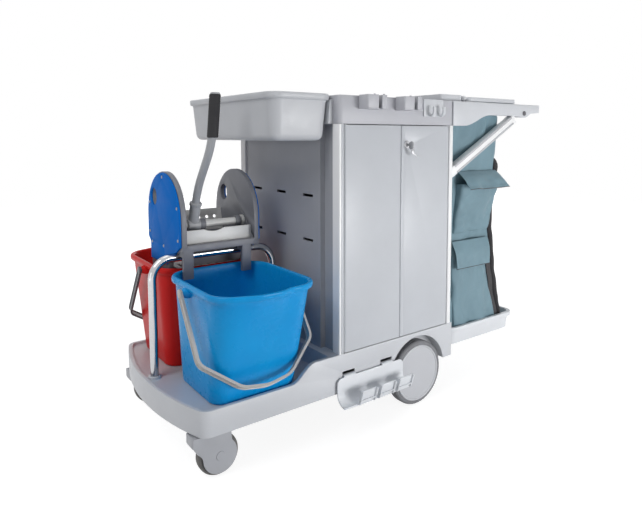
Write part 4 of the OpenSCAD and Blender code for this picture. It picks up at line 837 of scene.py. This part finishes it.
def make_tool_rest():
    """Scooped sheet with rounded ends, three leaning fingers with side ribs, and two hook tabs."""
    left, right, height, bend, wall, corner, front = -12, 235, 74, 32, 4, 16, 38
    turns = [math.radians(90 * i / 10) for i in range(11)]
    steps = (0, 0.6, 2, 4.5, 8, 12, corner)

    def scoop(radius):
        return [(bend - radius * math.cos(a), bend - radius * math.sin(a)) for a in turns]

    rings = []
    for x in [left + d for d in steps] + [right - d for d in reversed(steps)]:
        near_end = min(x - left, right - x, corner)
        top = height - (corner - math.sqrt(corner ** 2 - (corner - near_end) ** 2))
        outer = [(0, top)] + scoop(bend) + [(front, 0)]
        inner = [(front, wall)] + scoop(bend - wall)[::-1] + [(wall, top)]
        rings.append([rest_point(x, *pair) for pair in outer + inner])
    bm = bmesh.new()
    add_loft(bm, rings)
    half, rib = 28, 3.5
    finger = [(35, 0), (38.5, 0), (51.5, 43), (48, 44)]
    side_rib = [(37, 2), (44, 2), (57.5, 41), (55, 43.5), (50, 44)]
    rung = [(41, 13), (47.5, 13), (48.5, 16), (42, 16)]
    for middle in (63, 133, 203):
        first, last = middle - half, middle + half
        for low, high, outline in ((first, last, finger), (first, first + rib, side_rib),
                                   (last - rib, last, side_rib), (first, last, rung)):
            add_loft(bm, [[rest_point(x, *pair) for pair in outline] for x in (low, high)])
    hook = [(-291.5, 158), (-291.5, 168.5), (-276.7, 168.5), (-276.7, 159)]
    strap = [(-0.002, -0.020), (0.002, -0.020), (0.002, 0.020), (-0.002, 0.020)]
    for middle in (33, 174):
        path = smooth_path([at(middle, y, z) for y, z in hook], 0.006, 5)
        add_loft(bm, swept_rings(path, strap, (1, 0, 0)))
    round_edges(bm, 0.6, 60)
    stand_in("tool_rest", bm, "rest")


make_tool_rest()


def make_strip(name, body, left, right, low, high):
    """Thin grey strip on the door side, with rounded edges."""
    face, proud = -284.9, -286.2
    bm = bmesh.new()
    add_block(bm, [(left, proud), (right, proud), (right, face), (left, face)], low, high, 2)
    round_edges(bm, 0.5)
    finish_piece(from_bmesh(name, bm, "door"), body)


make_strip("door_jamb", "chassis", 6.5, 13.5, 230.5, 867.5)
make_strip("door_right_edge", "right_door", 228.5, 240, 234, 864)


def make_lock():
    """Lock face with its boss, a key in it, and a second key hanging from the ring."""
    node = "door_lock"
    centre = (250.5, -288.6, 810)
    face = [(0.01, 0), (6, 0), (6.4, 1.2), (9.6, 1.4), (11.4, 2), (11.8, 3.2), (8, 3.4), (8, 22)]
    face.append((0.01, 22))
    turned("door_lock_face", face, centre, -1, "key", "lock", [node], 48)
    shank = [(-288, 806.5), (-299, 806.5), (-299, 813.5), (-288, 813.5)]
    bow = [(-304 + 10 * across, 808 + 12 * up) for across, up in circle(1, 24)]
    middle = at(251, -308, 799)
    ring = [middle + Vector((0.0015, 0.006 * across, 0.008 * up)) for across, up in circle(1, 18)]
    spare = [(250, 795), (256, 797), (261, 793), (261, 787), (264, 784),
             (275, 778), (273, 774), (262, 779), (256, 781), (249, 788)]
    bm = bmesh.new()
    add_block(bm, shank, 249.4, 251.6, 0)
    add_block(bm, bow, 249.2, 251.8, 0)
    add_loft(bm, [[p + Vector((x, 0, z)) for x, z in circle(0.0007, 6)] for p in ring], closed=True)
    add_block(bm, spare, -307.2, -305.4, 1)
    round_edges(bm, 0.3, 50)
    finish_piece(from_bmesh("door_lock_keys", bm, "key"), "lock", (), 40)


make_lock()


# Front bin

BIN_X = -102
BIN_Z = 823
BIN_H = 125


def bin_ring(height, grow):
    """Plan of the front bin at a height above its bottom, grown outwards by some millimetres."""
    t = height / BIN_H
    plan = rounded_ring(162 + 22 * t + 2 * grow, 500 + 22 * t + 2 * grow, 26 + 6 * t + grow, (BIN_X, 0))
    return [at(x, y, BIN_Z + height) for x, y in plan]


def make_bin():
    """Bin with rounded bottom edges and a rolled rim, and its two hang tabs."""
    outside = [(0, -18), (1, -11), (4, -5.6), (9.4, -1.6), (17, 0), (50, 0), (104, 0), (107, 1.4)]
    lip = [(108.4, 6.2), (110, 7.6), (119, 8), (123.2, 7), (BIN_H, 4.6), (BIN_H, 0.4), (124, -2.2)]
    inside = [(121, -3), (60, -3), (20, -3), (12, -4.8), (6.8, -8.6), (4.2, -14), (3.2, -22)]
    tab = [(-16.2, 868.4), (-0.1, 868.4), (-0.1, 933), (-12, 933)]
    bm = bmesh.new()
    add_loft(bm, [bin_ring(h, g) for h, g in outside + lip + inside])
    for y in (-239, 239):
        add_block(bm, tab, y - 18, y + 18, 1)
    stand_in("front_bin", bm, "bin")


make_bin()


# Stays

def make_stay_beads():
    """Raised edges along the outer face of each stay, in a darker copy of the stays' white paint: painted
    shade on both sides of the white middle, which reads as a highlight line.
    """
    foot, head = Vector((453, 719)), Vector((775, 897))
    start, stop, width = 20, 352, 6.5
    run = (head - foot).normalized()
    across = Vector((-run.y, run.x))
    bm = bmesh.new()
    for side in (-1, 1):
        for low in (-14, 7.5):
            corners = ((start, low), (stop, low), (stop, low + width), (start, low + width))
            outline = [tuple(foot + run * along + across * shift) for along, shift in corners]
            add_block(bm, outline, side * 282.5, side * 284.4, 1)
    round_edges(bm, 0.4)
    finish_piece(from_bmesh("bag_stay_edges_shaded", bm, "stay"), "chassis")


make_stay_beads()


# Bag

BAG_LEFT = 477
BAG_FOOT = 150
BAG_TOP = 932
BAG_CORNER = 24
BAG_PUSH = 6
# Rear edge's x and half the width, each against z
BAG_EDGE = [(146, 742), (202, 746), (321, 718), (442, 693), (523, 693),
            (614, 701), (729, 709), (815, 717), (932, 728)]
BAG_HALF = [(146, 236), (202, 250), (321, 250), (442, 247), (523, 243),
            (614, 247), (729, 252), (815, 252), (932, 251)]


def between(table, z):
    """Value of a smooth line through [z, value] pairs."""
    if z <= table[0][0]:
        return table[0][1]
    for (z0, a), (z1, b) in zip(table, table[1:]):
        if z <= z1:
            t = (z - z0) / (z1 - z0)
            t = t * t * (3 - 2 * t) * 0.5 + t * 0.5
            return a + (b - a) * t
    return table[-1][1]


def crumple(x, y, z):
    """Folds of the hanging cloth, in millimetres outwards."""
    p = Vector((x / 95, y / 95, z / 150))
    soft = noise.noise(p + Vector((3.1, 7.7, 1.3))) * 13
    fine = noise.noise(p * 2.7 + Vector((9.2, 2.4, 5.5))) * 8
    drag = math.sin(x / 13 + y / 19 - z / 38 + noise.noise(p * 0.8) * 4) * 4 * max(0.0, (z - 690) / 240)
    sag = 5 * math.exp(-((z - 190) / 60) ** 2)
    return soft + fine + drag + sag


def make_bag():
    """Lofted cloth shell, open at the top."""
    levels, count = 74, 160
    rings = []
    for i in range(levels + 1):
        z = BAG_FOOT + (BAG_TOP - BAG_FOOT) * (i / levels)
        right = between(BAG_EDGE, z)
        half = between(BAG_HALF, z)
        pull = 1 if 0 < i < levels - 2 else 0.25
        plan = rounded_ring(right - BAG_LEFT, 2 * half, BAG_CORNER, ((right + BAG_LEFT) / 2, 0))
        plan = spread_ring(plan, count)
        ring = []
        for k, (x, y) in enumerate(plan):
            before, after = plan[k - 1], plan[(k + 1) % count]
            out = Vector((after[1] - before[1], before[0] - after[0])).normalized()
            push = min(crumple(x, y, z) * pull, BAG_PUSH if x > BAG_LEFT + 30 else 2)
            ring.append(at(x + out.x * push, y + out.y * push, z))
        rings.append(ring)
    bm = bmesh.new()
    add_loft(bm, rings, cap_last=False)
    shell = from_bmesh("bag_shell", bm, "cloth")
    thick = shell.modifiers.new("cloth", "SOLIDIFY")
    thick.thickness = 0.0018
    thick.offset = -1
    finish_piece(shell, "chassis", ["bag"], 70)


def cloth_panel(name, rows, thickness):
    """Sheet through rows of points, thickened and smoothed."""
    bm = bmesh.new()
    grid = [[bm.verts.new(p) for p in row] for row in rows]
    for low, high in zip(grid, grid[1:]):
        for k in range(len(low) - 1):
            bm.faces.new((low[k], low[k + 1], high[k + 1], high[k]))
    obj = from_bmesh(name, bm, "cloth")
    thick = obj.modifiers.new("cloth", "SOLIDIFY")
    thick.thickness = thickness
    thick.offset = 0
    fine = obj.modifiers.new("fine", "SUBSURF")
    fine.levels = 1
    fine.render_levels = 1
    finish_piece(obj, "chassis", (), 60)


def make_pocket(name, low, high, gape, folds):
    """Box pocket from low to high, each [z, left x, right x, depth], with a gape and long folds."""
    steps_x, steps_z, sewn = 28, 30, 1.5
    rows = []
    for i in range(steps_z + 1):
        t = i / steps_z
        z, left, right, depth = (a + (b - a) * t for a, b in zip(low, high))
        base = -between(BAG_HALF, z) + 3
        swell = gape * math.sin(math.pi * min(1, 0.12 + 0.8 * t)) ** 0.8
        row = [at(left - sewn, base, z)]
        for k in range(steps_x + 1):
            u = k / steps_x
            arch = math.sin(math.pi * u)
            ripple = noise.noise(Vector((u * 3.1, t * 3.3, low[0] / 40))) * 8
            ripple += noise.noise(Vector((u * 7.3, t * 8.1, low[0] / 23))) * 4
            ripple += folds * math.sin(u * 10.5 + 0.8 + 0.9 * t) * arch * (1 - 0.5 * t)
            inset = 2.2 * math.exp(-u * 22) + 2.2 * math.exp(-(1 - u) * 22)
            out = 3 + depth + max(0.0, arch) ** 0.7 * swell + ripple - inset
            row.append(at(left + (right - left) * u, base - out, z))
        row.append(at(right + sewn, base, z))
        rows.append(row)
    foot = [p + Vector((0, 0.004 + low[3] / 1000, -0.002)) for p in rows[0]]
    for p in foot:
        p.y = max(p.y, at(0, -between(BAG_HALF, low[0]) + 2, 0).y)
    cloth_panel(name, [foot] + rows, 0.0022)


def make_flap(name, top, low, curl):
    """Flap from its sewn top edge, [left x, right x, y, z], to its loose edge, which has a dark piping
    that is painted shadow: the shadow line under the flap.
    """
    steps_x, steps_z = 28, 16
    rows = []
    for i in range(steps_z + 1):
        t = i / steps_z
        arch = curl * math.sin(math.pi * t)
        left = top[0] + (low[0] - top[0]) * t
        right = top[1] + (low[1] - top[1]) * t
        y = top[2] + (low[2] - top[2]) * t ** 1.15 - arch * 0.6
        z = top[3] + (low[3] - top[3]) * t + arch * 0.35
        row = []
        for k in range(steps_x + 1):
            u = k / steps_x
            wave = noise.noise(Vector((u * 2.6, t * 1.7, top[3] / 30))) * 9 * t
            wave += noise.noise(Vector((u * 7.5, t * 4.1, top[3] / 17))) * 4 * t
            row.append(at(left + (right - left) * u, y - wave, z + wave * 0.4))
        rows.append(row)
    cloth_panel(name, rows, 0.003)
    # Dark piping along the loose edge: painted shadow under the flap.
    bm = bmesh.new()
    add_loft(bm, swept_rings(rows[-1], circle(0.0013, 8), (0, 0, 1)))
    finish_piece(from_bmesh(name + "_shadow_line", bm, "binding"), "chassis")


def make_binding():
    """Zip down each rear edge: a welt that stands off the corner, and a dark tape that ends under the
    flap; the tape is partly the zip's own tape and partly painted shade on the bag's face beside the
    pocket.
    """
    lean = math.radians(52)
    across, aside = math.cos(lean), math.sin(lean)
    foot, head, tuck, tape_head, tape_fade, steps = 158, 758, 728, 488, 70, 60
    fin = [(0.0032 * a, 0.0095 * b) for a, b in circle(1, 12)]
    flat = [(-0.010, -0.0012), (0.012, -0.0012), (0.012, 0.0012), (-0.010, 0.0012)]
    for end, side in (("near", -1), ("far", 1)):
        welt, tape_and_shade, fades = [], [], []
        for i in range(steps + 1):
            z = foot + (head - foot) * i / steps
            x = between(BAG_EDGE, z) - BAG_CORNER
            y = between(BAG_HALF, z) - BAG_CORNER
            push = crumple(x + BAG_CORNER * across, side * (y + BAG_CORNER * aside), z)
            out = BAG_CORNER + 7.5 + min(BAG_PUSH, push) + 0.8 * math.sin(z / 31)
            out -= 14 * max(0, (z - tuck) / (head - tuck)) ** 2
            welt.append(at(x + out * across, side * (y + out * aside), z))
            # Dark tape on the bag's face: partly zip tape, partly painted shade beside the pocket.
            if z < tape_head:
                dip = min(BAG_PUSH, crumple(x - 3, side * (y + BAG_CORNER), z))
                tape_and_shade.append(at(x - 3, side * (y + BAG_CORNER + 1.4 + dip), z))
                fades.append(min(1, (tape_head - z) / tape_fade))
        bm = bmesh.new()
        add_loft(bm, swept_rings(welt, fin, (across, side * aside, 0)))
        rings = swept_rings(tape_and_shade, [(side * a, b) for a, b in flat], (0, side, 0))
        add_loft(bm, [[p + (q - p) * fade for q in ring] for p, ring, fade in zip(tape_and_shade, rings, fades)])
        finish_piece(from_bmesh("bag_zip_" + end, bm, "binding"), "chassis")


make_bag()
make_pocket("bag_pocket_upper", (512, 506, 688, 2), (678, 512, 691, 35), 5, 2)
make_pocket("bag_pocket_lower", (196, 503, 716, 9), (470, 490, 642, 5), 6, 6)
make_flap("bag_flap_upper", (509, 703, -257, 718), (513, 718, -310, 663), 7)
make_flap("bag_flap_lower", (482, 668, -258, 488), (497, 667, -276, 398), 9)
make_binding()


# Nodes that keep their shape: the first list has its edges rounded by some millimetres

MOULDED = {
    "rest": [("bag_shelf", 1.5)],
    "body": [("base_platform", 1.5), ("far_side_panel", 0.8), ("cabinet_shelf", 0.8),
             ("hook_bracket", 1.0), ("bag_arm_near", 2.0), ("bag_arm_far", 2.0),
             ("push_handle", 0.8), ("cover_plate", 1.5), ("bag_lid", 1.8)],
    "header": [("header_frame", 2.0)],
    "door": [("door_left", 1.0), ("door_right", 1.0)],
    "panel": [("rear_panel", 0.8)],
    "post": [("post_front_near", 0.6), ("post_rear_near", 0.6), ("post_front_far", 0.6),
             ("post_rear_far", 0.6), ("bag_stays", 0.6)],
    "wringer": [("wringer_frame", 0.6), ("press_plate", 0.8)],
    "cover": [("wringer_cover_front", 1.4), ("wringer_cover_rear", 1.4)],
    "pale": [("back_plate", 0.8), ("splash_guard", 0.8), ("wringer_shaft", 0.6)],
    "lever": [("lever_socket", 0.8)],
}
PLAIN = {
    "pale": ["caster_hub_near", "caster_hub_far"],
    "hood": ["caster_axle_near", "caster_axle_far"],
    "lever": ["wringer_screws"],
    "steel": ["rear_axle", "caster_mount_near", "caster_mount_far", "door_hinge_pins", "lid_pin"],
    # Frame bolts in dark plastic: painted shade of the bolt holes.
    "dark": ["frame_bolts"],
    "chrome": ["divider_rail"],
    "panel": ["front_panel"],
}
for material, rows in MOULDED.items():
    for node, width in rows:
        softened(node, material, width)
for material, nodes in PLAIN.items():
    for node in nodes:
        mesh = frame["nodes"][node].data
        mesh.materials.clear()
        mesh.materials.append(MATERIALS[material])
